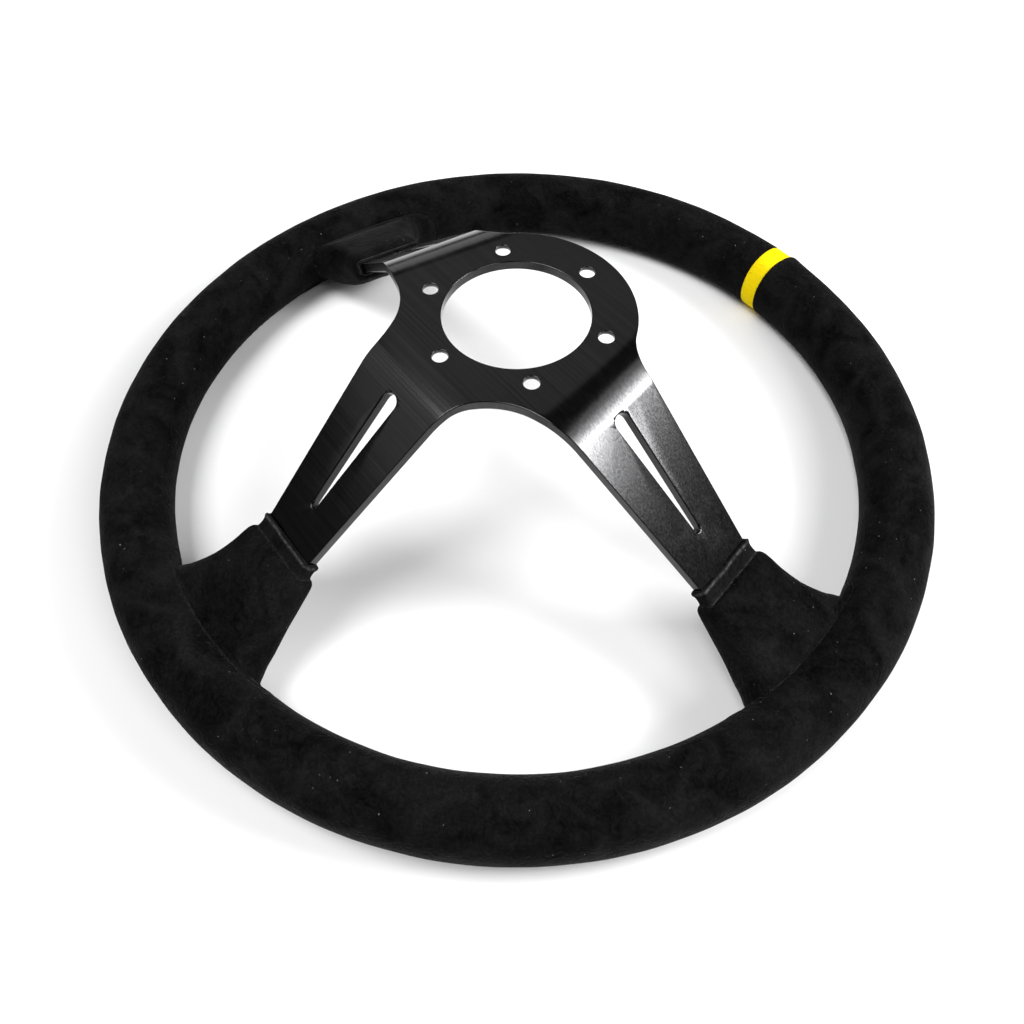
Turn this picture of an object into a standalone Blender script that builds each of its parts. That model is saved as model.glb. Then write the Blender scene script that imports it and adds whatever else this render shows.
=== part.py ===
"""Deep-dish three-spoke steering wheel with a suede rim.

The wheel lies on the front of its rim. The origin is where the wheel's axis meets that resting plane,
+Z runs along the axis towards the steering column, and +Y points at the yellow mark at 12 o'clock.
"""

import math

import bmesh
import bpy
from mathutils import Matrix, Vector
from mathutils.geometry import tessellate_polygon

for old in list(bpy.data.objects):
    bpy.data.objects.remove(old)

# ---------------------------------------------------------------- driving dimensions (metres, degrees)
FIT = 0.0003  # gap between pieces that touch

# Rim
RIM_DIAMETER = 0.350
GRIP_WIDTH = 0.028
GRIP_HEIGHT = 0.0316
GRIP_SQUARENESS = 2.2  # exponent of the section's superellipse; 2 is a plain ellipse
SUEDE = 0.0012  # thickness of the cover
SEAM_ANGLE = 232.0  # where the cover's seam lies on the section: 0 is outward, 90 towards the column
SEAM_GAP = 0.0018
MARK_ANGLE = 90.0
MARK_WIDTH = 0.0098

# Ring inside the rim
RING_WIDTH = 0.012
RING_HEIGHT = 0.006
RING_CHAMFER = 0.001
RING_TOP = 0.0152

# Spoke plate
HUB_FACE_HEIGHT = 0.0907  # the dish: resting plane to the hub's mounting face
PLATE = 0.0040
HUB_RADIUS = 0.0453
CENTRE_HOLE_RADIUS = 0.028
SCREW_CIRCLE_RADIUS = 0.035
SCREW_HOLE_RADIUS = 0.0030
SCREW_SINK = 0.0025  # depth of the 90 degree countersink on the driver's side
SCREW_HOLES = 6
BEND_START = 0.0383  # distance from the axis at which an arm starts to bend
BEND_RADIUS = 0.0280
ARM_SLOPE = 39.8
TIP_BEND_RADIUS = 0.012
TIP_FACE_HEIGHT = 0.020  # column side of the flat arm end
CUFF_AT = 0.0871  # length along the arm, from the bend's start, at which the cuff begins
ARM_HALF_WIDTH_AT_CUFF = 0.0140
ARM_TAPER = 0.096  # half width gained for each metre towards the hub
ARM_END_RADIUS = 0.167
ARM_END_CORNER = 0.005
ARCH_RADIUS = 0.0285  # inner corner between two neighbouring arms
SHOULDER_RADIUS = 0.018  # corner between a side arm and the hub disc
SLOT_START = 0.0189
SLOT_END = 0.0713
SLOT_HUB_RADIUS = 0.0034
SLOT_TIP_RADIUS = 0.0012

# name, direction of the arm, sideways offset of its centre line from the wheel's axis
ARMS = [
    ("right", 10.0, -0.0098),
    ("left", 170.0, 0.0098),
    ("bottom", 270.0, 0.0),
]

# Rivets
RIVET_SPACING = 0.015
RIVET_RADIUS = 0.0025
RIVET_HEAD_RADIUS = 0.0043
RIVET_HEAD_HEIGHT = 0.0017

# Cuffs and boots
CUFF_LENGTH = 0.007
CUFF_THICKNESS = 0.0014
BOOT_NECK = (0.0158, 0.0041, 0.0015)  # half width, half height and corner radius where it meets the cuff
# along the arm's direction, height, tilt of the section, half width, half height, corner radius
BOOT_STATIONS = [
    (0.1144, 0.0334, 40.0, 0.0174, 0.0064, 0.0045),
    (0.1208, 0.0288, 34.0, 0.0188, 0.0086, 0.0070),
    (0.1288, 0.0240, 27.0, 0.0210, 0.0102, 0.0086),
    (0.1368, 0.0203, 20.0, 0.0244, 0.0105, 0.0090),
    (0.1438, 0.0178, 12.0, 0.0297, 0.0095, 0.0084),
    (0.1530, 0.0163, 5.0, 0.0337, 0.0085, 0.0076),
]
THREAD_RADIUS = 0.00045

# Mesh steps, in degrees: round the wheel, and round the rim's section
WHEEL_STEP = 7.5
SECTION_STEP = 22.5

# ---------------------------------------------------------------- worked-out dimensions
RIM_RADIUS = (RIM_DIAMETER - GRIP_WIDTH) / 2
RIM_HEIGHT = GRIP_HEIGHT / 2  # height of the section's centre
MARK_HALF_ANGLE = math.degrees(MARK_WIDTH / 2 / RIM_RADIUS)
BEND_ANGLE = math.radians(ARM_SLOPE)
BEND_LENGTH = BEND_RADIUS * BEND_ANGLE
BEND_DROP = BEND_RADIUS * (1 - math.cos(BEND_ANGLE))
TIP_BEND_DROP = TIP_BEND_RADIUS * (1 - math.cos(BEND_ANGLE))
STRAIGHT_LENGTH = (HUB_FACE_HEIGHT - BEND_DROP - TIP_BEND_DROP - TIP_FACE_HEIGHT) / math.sin(BEND_ANGLE)
TIP_BEND_START = BEND_LENGTH + STRAIGHT_LENGTH
TIP_BEND_END = TIP_BEND_START + TIP_BEND_RADIUS * BEND_ANGLE


# ---------------------------------------------------------------- materials
def material(name, colour, roughness, metallic):
    made = bpy.data.materials.new(name)
    made.use_nodes = True
    shader = made.node_tree.nodes["Principled BSDF"]
    shader.inputs["Base Color"].default_value = (*colour, 1)
    shader.inputs["Roughness"].default_value = roughness
    shader.inputs["Metallic"].default_value = metallic
    return made


ANODISED = material("black_anodised_plate", (0.03, 0.03, 0.032), 0.38, 0.9)
STEEL = material("zinc_plated_steel", (0.55, 0.56, 0.58), 0.35, 1.0)
ALUMINIUM = material("rivet_aluminium", (0.75, 0.75, 0.76), 0.4, 1.0)
FOAM = material("grey_foam", (0.16, 0.16, 0.17), 0.85, 0.0)
BLACK_SUEDE = material("black_suede", (0.016, 0.016, 0.017), 0.95, 0.0)
YELLOW_SUEDE = material("yellow_suede", (0.93, 0.72, 0.01), 0.9, 0.0)
THREAD = material("black_thread", (0.03, 0.03, 0.03), 0.7, 0.0)


# ---------------------------------------------------------------- mesh helpers
def finish(name, mesh_builder, surface, smooth_angle=35.0):
    """Turn a bmesh into a named object with its own material, its faces pointing out."""
    bmesh.ops.recalc_face_normals(mesh_builder, faces=mesh_builder.faces)
    mesh = bpy.data.meshes.new(name)
    mesh_builder.to_mesh(mesh)
    mesh_builder.free()
    mesh.shade_smooth()
    mesh.set_sharp_from_angle(angle=math.radians(smooth_angle))
    made = bpy.data.objects.new(name, mesh)
    made.data.materials.append(surface)
    bpy.context.scene.collection.objects.link(made)
    return made


def cutter(name, mesh_builder):
    made = finish(name, mesh_builder, FOAM)
    made.hide_render = True
    made.display_type = "WIRE"
    return made


def combine(target, other, operation):
    step = target.modifiers.new(f"{operation.lower()} {other.name}", "BOOLEAN")
    step.operation = operation
    step.object = other


def loft(rings, close_path=False, cap_ends=True):
    """Skin a row of closed rings that all have the same number of points."""
    mesh_builder = bmesh.new()
    rows = [[mesh_builder.verts.new(point) for point in ring] for ring in rings]
    following = rows[1:] + ([rows[0]] if close_path else [])
    for row, next_row in zip(rows, following):
        for i in range(len(row)):
            j = (i + 1) % len(row)
            mesh_builder.faces.new((row[i], row[j], next_row[j], next_row[i]))
    if cap_ends and not close_path:
        mesh_builder.faces.new(rows[0])
        mesh_builder.faces.new(rows[-1])
    return mesh_builder


def loft_shell(outer_rings, inner_rings):
    """A sleeve: an outer and an inner skin joined at both ends."""
    mesh_builder = loft(outer_rings + inner_rings[::-1], cap_ends=False)
    mesh_builder.verts.ensure_lookup_table()
    count = len(outer_rings[0])
    first = mesh_builder.verts[:count]
    last = mesh_builder.verts[-count:]
    for i in range(count):
        j = (i + 1) % count
        mesh_builder.faces.new((first[i], first[j], last[j], last[i]))
    return mesh_builder


def rounded_rectangle(half_width, half_height, corner, steps=3):
    """Points of a rectangle with round corners, counter-clockwise from the lower right corner."""
    points = []
    for turn, side, up in ((270, 1, -1), (0, 1, 1), (90, -1, 1), (180, -1, -1)):
        centre = Vector((side * (half_width - corner), up * (half_height - corner)))
        for k in range(steps + 1):
            angle = math.radians(turn + 90 * k / steps)
            points.append(centre + Vector((math.cos(angle), math.sin(angle))) * corner)
    return points


def circle(centre, radius, steps):
    """Points of a circle in a plane, counter-clockwise."""
    return [
        Vector(centre) + Vector((math.cos(math.tau * k / steps), math.sin(math.tau * k / steps))) * radius
        for k in range(steps)
    ]


# ---------------------------------------------------------------- around the wheel
def at_angle(angle, radius, height):
    turn = math.radians(angle)
    return Vector((radius * math.cos(turn), radius * math.sin(turn), height))


def turn_stations(first, last, step):
    """Angles from first to last: both ends, and every whole step between them."""
    between = range(math.floor(first / step) + 1, math.ceil(last / step))
    return [first] + [step * k for k in between] + [last]


FULL_TURN = turn_stations(MARK_ANGLE + MARK_HALF_ANGLE, MARK_ANGLE + 360 - MARK_HALF_ANGLE, WHEEL_STEP)
SEAM_HALF_ANGLE = math.degrees(SEAM_GAP / GRIP_HEIGHT)
SECTION_TURN = turn_stations(SEAM_ANGLE + SEAM_HALF_ANGLE, SEAM_ANGLE + 360 - SEAM_HALF_ANGLE, SECTION_STEP)


def grip_point(section_angle, inset):
    """Radius and height of a point on the rim's section, moved inwards by inset."""
    turn = math.radians(section_angle)
    half_width = GRIP_WIDTH / 2 - inset
    half_height = GRIP_HEIGHT / 2 - inset
    power = 2 / GRIP_SQUARENESS
    across = math.copysign(abs(math.cos(turn)) ** power, math.cos(turn)) * half_width
    up = math.copysign(abs(math.sin(turn)) ** power, math.sin(turn)) * half_height
    return RIM_RADIUS + across, RIM_HEIGHT + up


def closed_section(inset):
    return [grip_point(turn, inset) for turn in SECTION_TURN]


def cover_section():
    """The cover's section: a C, open at the seam."""
    outside = [grip_point(turn, 0) for turn in SECTION_TURN]
    inside = [grip_point(turn, SUEDE) for turn in SECTION_TURN]
    return outside + inside[::-1]


def sweep_round(section, angles, close_path=False):
    rings = [[at_angle(angle, radius, height) for radius, height in section] for angle in angles]
    return loft(rings, close_path)


# ---------------------------------------------------------------- along an arm
def arm_point(arm, along, sideways, height):
    """A point given along and across one arm's own direction."""
    _, direction, offset = arm
    turn = math.radians(direction)
    ahead = Vector((math.cos(turn), math.sin(turn), 0))
    across = Vector((-math.sin(turn), math.cos(turn), 0))
    return ahead * along + across * (sideways + offset) + Vector((0, 0, height))


def arm_profile(length):
    """Distance from the axis, height and slope of the arm's column face, by length along it."""
    angle = min(max(length / BEND_RADIUS, 0), BEND_ANGLE)
    along = BEND_START + min(length, 0) + BEND_RADIUS * math.sin(angle)
    height = HUB_FACE_HEIGHT - BEND_RADIUS * (1 - math.cos(angle))
    straight = min(max(length - BEND_LENGTH, 0), STRAIGHT_LENGTH)
    along += straight * math.cos(BEND_ANGLE)
    height -= straight * math.sin(BEND_ANGLE)
    back = min(max((length - TIP_BEND_START) / TIP_BEND_RADIUS, 0), BEND_ANGLE)
    slope = angle - back
    along += TIP_BEND_RADIUS * (math.sin(BEND_ANGLE) - math.sin(BEND_ANGLE - back))
    height -= TIP_BEND_RADIUS * (math.cos(BEND_ANGLE - back) - math.cos(BEND_ANGLE))
    along += max(length - TIP_BEND_END, 0)
    return along, height, slope


def bent_point(arm, length, sideways, depth):
    """Where a point of the flat plate goes when the arm is bent; depth is measured into the plate."""
    along, height, slope = arm_profile(length)
    return arm_point(arm, along - depth * math.sin(slope), sideways, height - depth * math.cos(slope))


def arm_half_width(length):
    return ARM_HALF_WIDTH_AT_CUFF + ARM_TAPER * max(CUFF_AT - length, 0)


TIP_FLAT_START = arm_profile(TIP_BEND_END)[0]
ARM_LENGTH = TIP_BEND_END + ARM_END_RADIUS - TIP_FLAT_START


def rivet_places(arm):
    """Distance along the arm and sideways place of its two rivets, both on the ring's centre line."""
    places = []
    for sideways in (-RIVET_SPACING / 2, RIVET_SPACING / 2):
        along = math.sqrt(RIM_RADIUS**2 - (sideways + arm[2]) ** 2)
        places.append((along, sideways))
    return places


# ---------------------------------------------------------------- spoke plate: flat pattern, then bend
def flat_point(arm, length, sideways):
    return arm_point(arm, BEND_START + length, sideways, 0).to_2d()


def fillet(before, corner, after, radius, steps):
    """Arc that rounds the corner between two straight edges."""
    to_before = (before - corner).normalized()
    to_after = (after - corner).normalized()
    half = to_before.angle(to_after) / 2
    centre = corner + (to_before + to_after).normalized() * radius / math.sin(half)
    start = corner + to_before * radius / math.tan(half) - centre
    turn = (corner + to_after * radius / math.tan(half) - centre).angle_signed(start)
    return [centre + Matrix.Rotation(turn * k / steps, 2) @ start for k in range(steps + 1)]


def crossing(point_a, way_a, point_b, way_b):
    """Where two straight lines meet."""
    along = (point_b - point_a).cross(way_b) / way_a.cross(way_b)
    return point_a + way_a * along


def shoulder(edge_point, edge_way, steps):
    """Arc between the upper edge of a side arm and the hub disc, from the edge to the disc."""
    outward = Vector((-edge_way.y, edge_way.x))
    base = edge_point + outward * SHOULDER_RADIUS
    reach = HUB_RADIUS + SHOULDER_RADIUS
    middle = base.dot(edge_way)
    centre = base + edge_way * (-middle + math.sqrt(middle**2 - base.length_squared + reach**2))
    start = -outward * SHOULDER_RADIUS
    turn = (-centre).angle_signed(start)
    return [centre + Matrix.Rotation(turn * k / steps, 2) @ start for k in range(steps + 1)]


def edge_points(arm, side):
    """The straight edge of an arm on one side: a point near the hub, at the cuff and at the end."""
    return [
        flat_point(arm, 0, side * arm_half_width(0)),
        flat_point(arm, CUFF_AT, side * arm_half_width(CUFF_AT)),
        flat_point(arm, ARM_LENGTH, side * arm_half_width(ARM_LENGTH)),
    ]


def half_outline():
    """The plate's outline on the +X side, from the bottom arm's end up to the top of the hub disc."""
    right, _, bottom = ARMS
    bottom_hub, bottom_cuff, bottom_end = edge_points(bottom, 1)
    lower_hub, lower_cuff, lower_end = edge_points(right, -1)
    upper_hub, upper_cuff, upper_end = edge_points(right, 1)
    arch_corner = crossing(bottom_hub, bottom_cuff - bottom_hub, lower_hub, lower_cuff - lower_hub)
    middle_of_bottom_end = flat_point(bottom, ARM_LENGTH, 0)
    points = fillet(middle_of_bottom_end, bottom_end, bottom_cuff, ARM_END_CORNER, 4)
    points.append(bottom_cuff)
    points += fillet(bottom_cuff, arch_corner, lower_cuff, ARCH_RADIUS, 16)
    points.append(lower_cuff)
    points += fillet(lower_cuff, lower_end, upper_end, ARM_END_CORNER, 4)
    points += fillet(lower_end, upper_end, upper_cuff, ARM_END_CORNER, 4)
    points.append(upper_cuff)
    rounding = shoulder(upper_hub, (upper_cuff - upper_hub).normalized(), 8)
    points += rounding
    first = math.atan2(rounding[-1].y, rounding[-1].x)
    steps = 14
    for k in range(1, steps):
        angle = first + (math.pi / 2 - first) * k / steps
        points.append(Vector((math.cos(angle), math.sin(angle))) * HUB_RADIUS)
    return points


def slot_outline(arm):
    """A long slot, round at the hub end and narrow at the rim end."""
    hub = SLOT_START + SLOT_HUB_RADIUS
    tip = SLOT_END - SLOT_TIP_RADIUS
    lean = math.degrees(math.asin((SLOT_HUB_RADIUS - SLOT_TIP_RADIUS) / (tip - hub)))
    points = []
    for centre, radius, first, last in (
        (hub, SLOT_HUB_RADIUS, 90 - lean, 270 + lean),
        (tip, SLOT_TIP_RADIUS, -90 + lean, 90 - lean),
    ):
        steps = 8
        for k in range(steps + 1):
            turn = math.radians(first + (last - first) * k / steps)
            points.append(flat_point(arm, centre + radius * math.cos(turn), radius * math.sin(turn)))
    return points


def screw_places():
    """Centres of the hub's screw holes, the first one towards the mark."""
    return [at_angle(90 + 360 * k / SCREW_HOLES, SCREW_CIRCLE_RADIUS, 0).to_2d() for k in range(SCREW_HOLES)]


def flat_pattern():
    """The plate before bending, as a flat mesh with all its holes."""
    half = half_outline()
    mirrored = [Vector((-point.x, point.y)) for point in reversed(half)]
    loops = [half + [Vector((0, HUB_RADIUS))] + mirrored]
    loops.append(circle((0, 0), CENTRE_HOLE_RADIUS, 48))
    for place in screw_places():
        loops.append(circle(place, SCREW_HOLE_RADIUS, 16))
    for arm in ARMS:
        loops.append(slot_outline(arm))
        for along, sideways in rivet_places(arm):
            length = TIP_BEND_END + along - TIP_FLAT_START
            loops.append(circle(flat_point(arm, length, sideways), RIVET_RADIUS + FIT, 12))
    mesh_builder = bmesh.new()
    corners = [mesh_builder.verts.new((*point, 0)) for loop in loops for point in loop]
    for triangle in tessellate_polygon([[point.to_3d() for point in loop] for loop in loops]):
        mesh_builder.faces.new([corners[k] for k in triangle])
    return mesh_builder


def bend(point):
    """Move one point of the flat plate to its place on the bent plate."""
    for arm in ARMS:
        ahead = arm_point((None, arm[1], 0), 1, 0, 0)
        across = arm_point((None, arm[1], 0), 0, 1, 0)
        length = point.dot(ahead) - BEND_START
        if length > 0:
            return bent_point(arm, length, point.dot(across) - arm[2], -point.z)
    return Vector((point.x, point.y, HUB_FACE_HEIGHT + point.z))


def make_spoke_plate():
    mesh_builder = flat_pattern()
    stations = [BEND_LENGTH * k / 5 for k in range(6)]
    stations += [TIP_BEND_START + (TIP_BEND_END - TIP_BEND_START) * k / 3 for k in range(4)]
    for arm in ARMS:
        ahead = arm_point((None, arm[1], 0), 1, 0, 0)
        for length in stations:
            whole = mesh_builder.verts[:] + mesh_builder.edges[:] + mesh_builder.faces[:]
            place = ahead * (BEND_START + length)
            bmesh.ops.bisect_plane(mesh_builder, geom=whole, dist=1e-7, plane_co=place, plane_no=ahead)
    top = mesh_builder.faces[:]
    made = bmesh.ops.extrude_face_region(mesh_builder, geom=top, use_keep_orig=True)
    lower = [item for item in made["geom"] if isinstance(item, bmesh.types.BMVert)]
    for vertex in lower:
        vertex.co.z = -PLATE
    for vertex in mesh_builder.verts:
        vertex.co = bend(vertex.co)
    plate = finish("spoke_plate", mesh_builder, ANODISED, 30.0)
    front = HUB_FACE_HEIGHT - PLATE
    for number, place in enumerate(screw_places(), 1):
        rings = []
        for height, growth in ((front - FIT, SCREW_SINK + FIT), (front + SCREW_SINK, 0)):
            rings.append([Vector((*point, height)) for point in circle(place, SCREW_HOLE_RADIUS + growth, 16)])
        combine(plate, cutter(f"cut_countersink_{number}", loft(rings)), "DIFFERENCE")
    return plate


# ---------------------------------------------------------------- rim core and rivets
def make_core_ring():
    half = RING_WIDTH / 2
    chamfer = RING_CHAMFER
    bottom = RING_TOP - RING_HEIGHT
    section = [
        (RIM_RADIUS - half + chamfer, bottom),
        (RIM_RADIUS + half - chamfer, bottom),
        (RIM_RADIUS + half, bottom + chamfer),
        (RIM_RADIUS + half, RING_TOP - chamfer),
        (RIM_RADIUS + half - chamfer, RING_TOP),
        (RIM_RADIUS - half + chamfer, RING_TOP),
        (RIM_RADIUS - half, RING_TOP - chamfer),
        (RIM_RADIUS - half, bottom + chamfer),
    ]
    ring = finish("core_ring", sweep_round(section, FULL_TURN, close_path=True), STEEL)
    for arm in ARMS:
        for number, (along, sideways) in enumerate(rivet_places(arm), 1):
            centre = arm_point(arm, along, sideways, RING_TOP - RING_HEIGHT / 2)
            hole = upright_rod(centre, RIVET_RADIUS + FIT, RING_HEIGHT, 12)
            combine(ring, cutter(f"cut_ring_hole_{arm[0]}_{number}", hole), "DIFFERENCE")
    return ring


def upright_rod(centre, radius, half_length, steps):
    rings = []
    for height in (-half_length, half_length):
        rings.append([Vector((*point, centre.z + height)) for point in circle(centre.to_2d(), radius, steps)])
    return loft(rings)


def make_rivet(arm, number, along, sideways):
    """A domed head on the arm, a shank through arm and ring, and a closed head under the ring."""
    upper = TIP_FACE_HEIGHT + FIT
    lower = RING_TOP - RING_HEIGHT - FIT
    middle = arm_point(arm, along, sideways, 0).to_2d()
    outline = [
        (RIVET_HEAD_RADIUS * 0.5, lower - RIVET_HEAD_HEIGHT),
        (RIVET_HEAD_RADIUS, lower - RIVET_HEAD_HEIGHT * 0.35),
        (RIVET_HEAD_RADIUS, lower),
        (RIVET_RADIUS, lower),
        (RIVET_RADIUS, upper),
        (RIVET_HEAD_RADIUS, upper),
        (RIVET_HEAD_RADIUS, upper + RIVET_HEAD_HEIGHT * 0.35),
        (RIVET_HEAD_RADIUS * 0.5, upper + RIVET_HEAD_HEIGHT),
    ]
    rings = [[Vector((*point, height)) for point in circle(middle, radius, 12)] for radius, height in outline]
    return finish(f"rivet_{arm[0]}_{number}", loft(rings), ALUMINIUM)


# ---------------------------------------------------------------- boots and cuffs
def boot_neck():
    """The boot's first section: square to the arm, next to the cuff."""
    along, height, slope = arm_profile(CUFF_AT + CUFF_LENGTH + FIT)
    depth = PLATE / 2
    return (along - depth * math.sin(slope), height - depth * math.cos(slope), ARM_SLOPE, *BOOT_NECK)


def boot_rings(arm, inset, with_neck=False):
    """The boot's sections round one arm, moved inwards by inset."""
    rings = []
    stations = ([boot_neck()] if with_neck else []) + BOOT_STATIONS
    for along, height, tilt, half_width, half_height, corner in stations:
        turn = math.radians(tilt)
        ring = []
        for point in rounded_rectangle(half_width - inset, half_height - inset, max(corner - inset, 0.0002)):
            lean_along = along + point.y * math.sin(turn)
            ring.append(arm_point(arm, lean_along, point.x, height + point.y * math.cos(turn)))
        rings.append(ring)
    return rings


def arm_rings(arm, lengths, clearance):
    """Sections of an arm, grown by a clearance all round."""
    rings = []
    for length in lengths:
        half_width = arm_half_width(length) + clearance
        rings.append([
            bent_point(arm, length, -half_width, PLATE + clearance),
            bent_point(arm, length, half_width, PLATE + clearance),
            bent_point(arm, length, half_width, -clearance),
            bent_point(arm, length, -half_width, -clearance),
        ])
    return rings


def make_boot(arm, rim_cutter):
    shell = loft_shell(boot_rings(arm, 0, with_neck=True), boot_rings(arm, SUEDE, with_neck=True))
    boot = finish(f"boot_{arm[0]}", shell, BLACK_SUEDE)
    combine(boot, rim_cutter, "DIFFERENCE")
    return boot


def make_cuff(arm):
    """A folded strip of suede round the arm, where the boot ends."""
    outer = []
    inner = []
    for length in (CUFF_AT, CUFF_AT + CUFF_LENGTH):
        half_width = arm_half_width(length)
        for rings, growth, corner in ((outer, FIT + CUFF_THICKNESS, CUFF_THICKNESS), (inner, FIT, 0.0001)):
            section = rounded_rectangle(half_width + growth, PLATE / 2 + growth, corner)
            rings.append([bent_point(arm, length, point.x, PLATE / 2 - point.y) for point in section])
    return finish(f"cuff_{arm[0]}", loft_shell(outer, inner), BLACK_SUEDE)


# ---------------------------------------------------------------- foam and covers
def make_foam_grip():
    foam = finish("foam_grip", sweep_round(closed_section(SUEDE + FIT), FULL_TURN, close_path=True), FOAM)
    half = RING_WIDTH / 2 + FIT
    lower = RING_TOP - RING_HEIGHT - FIT
    upper = RING_TOP + FIT
    channel = [
        (RIM_RADIUS - half, lower),
        (RIM_RADIUS + half, lower),
        (RIM_RADIUS + half, upper),
        (RIM_RADIUS - half, upper),
    ]
    ring_space = cutter("cut_ring_space", sweep_round(channel, FULL_TURN, close_path=True))
    for arm in ARMS:
        boss = cutter(f"add_boss_{arm[0]}", loft(boot_rings(arm, SUEDE + FIT)))
        combine(foam, boss, "UNION")
    combine(foam, ring_space, "DIFFERENCE")
    bend_steps = [TIP_BEND_START + (TIP_BEND_END - TIP_BEND_START) * k / 3 for k in range(4)]
    lengths = [CUFF_AT, *bend_steps, ARM_LENGTH + FIT]
    for arm in ARMS:
        arm_space = cutter(f"cut_arm_space_{arm[0]}", loft(arm_rings(arm, lengths, FIT)))
        combine(foam, arm_space, "DIFFERENCE")
        for number, (along, sideways) in enumerate(rivet_places(arm), 1):
            top = TIP_FACE_HEIGHT + RIVET_HEAD_HEIGHT + 2 * FIT
            bottom = RING_TOP - RING_HEIGHT - RIVET_HEAD_HEIGHT - 2 * FIT
            centre = arm_point(arm, along, sideways, (top + bottom) / 2)
            space = upright_rod(centre, RIVET_HEAD_RADIUS + FIT, (top - bottom) / 2, 12)
            combine(foam, cutter(f"cut_rivet_space_{arm[0]}_{number}", space), "DIFFERENCE")
    return foam


def make_rim_cover():
    cover = finish("rim_cover", sweep_round(cover_section(), FULL_TURN), BLACK_SUEDE)
    for arm in ARMS:
        opening = cutter(f"cut_cover_{arm[0]}", loft(boot_rings(arm, SUEDE)))
        combine(cover, opening, "DIFFERENCE")
    return cover


def make_centre_mark():
    reach = MARK_HALF_ANGLE - math.degrees(FIT / RIM_RADIUS)
    angles = [MARK_ANGLE - reach, MARK_ANGLE + reach]
    return finish("centre_mark", sweep_round(cover_section(), angles), YELLOW_SUEDE)


# ---------------------------------------------------------------- threads
def thread_ring(centre, side, up):
    return [centre + side * point.x + up * point.y for point in circle((0, 0), THREAD_RADIUS, 6)]


def make_rim_thread(number, first, last):
    """Thread in the cover's seam, between two boots or between a boot and the mark."""
    radius, height = grip_point(SEAM_ANGLE, SUEDE / 2)
    rings = []
    for angle in turn_stations(first, last, WHEEL_STEP):
        rings.append(thread_ring(at_angle(angle, radius, height), at_angle(angle, 1, 0), Vector((0, 0, 1))))
    return finish(f"rim_thread_{number}", loft(rings), THREAD)


def make_boot_thread(arm):
    """Thread under the boot's seam, on the front side along its centre line."""
    rings = []
    across = arm_point((None, arm[1], 0), 0, 1, 0)
    for along, height, tilt, _, half_height, _ in BOOT_STATIONS[:-2]:
        turn = math.radians(tilt)
        reach = half_height + FIT + THREAD_RADIUS
        centre = arm_point(arm, along - reach * math.sin(turn), 0, height - reach * math.cos(turn))
        up = arm_point((None, arm[1], 0), math.sin(turn), 0, math.cos(turn))
        rings.append(thread_ring(centre, across, up))
    return finish(f"boot_thread_{arm[0]}", loft(rings), THREAD)


def boot_edges(arm):
    """Angles round the wheel at which a boot's two sides meet the rim."""
    inner_radius = RIM_RADIUS - GRIP_WIDTH / 2
    half_width = BOOT_STATIONS[-1][3]
    angles = []
    for side in (-1, 1):
        sideways = arm[2] + side * half_width
        angles.append(arm[1] + math.degrees(math.asin(sideways / inner_radius)))
    return angles


# ---------------------------------------------------------------- assembly
make_spoke_plate()
make_core_ring()
make_foam_grip()
make_rim_cover()
make_centre_mark()
rim_space = cutter("cut_rim_space", sweep_round(closed_section(-FIT), FULL_TURN, close_path=True))
for spoke in ARMS:
    for rivet_number, (rivet_along, rivet_sideways) in enumerate(rivet_places(spoke), 1):
        make_rivet(spoke, rivet_number, rivet_along, rivet_sideways)
    make_boot(spoke, rim_space)
    make_cuff(spoke)
    make_boot_thread(spoke)

right_arm, left_arm, bottom_arm = ARMS
mark_clearance = MARK_HALF_ANGLE + 0.4
seam_stops = [
    (MARK_ANGLE + mark_clearance, boot_edges(left_arm)[0]),
    (boot_edges(left_arm)[1], boot_edges(bottom_arm)[0]),
    (boot_edges(bottom_arm)[1], boot_edges(right_arm)[0] + 360),
    (boot_edges(right_arm)[1], MARK_ANGLE - mark_clearance),
]
for thread_number, (seam_start, seam_end) in enumerate(seam_stops, 1):
    make_rim_thread(thread_number, seam_start, seam_end)
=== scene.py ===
# %% [markdown]
# # A deep-dish steering wheel with a suede rim
#
# The real wheel is a black aluminium plate, bent into three arms and riveted to a steel ring. Soft foam is
# moulded round the ring, suede is stretched over the foam, and a suede boot closes each arm's end.
# This lesson builds what the eye sees: the plate with its rounded edges, the suede skins with their seams,
# the folded cuffs and the stitches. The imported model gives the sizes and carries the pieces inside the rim.

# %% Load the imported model
import math

import bmesh
import bpy
import numpy as np
from mathutils import Matrix, Vector
from mathutils.bvhtree import BVHTree
from mathutils.geometry import delaunay_2d_cdt, tessellate_polygon


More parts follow.
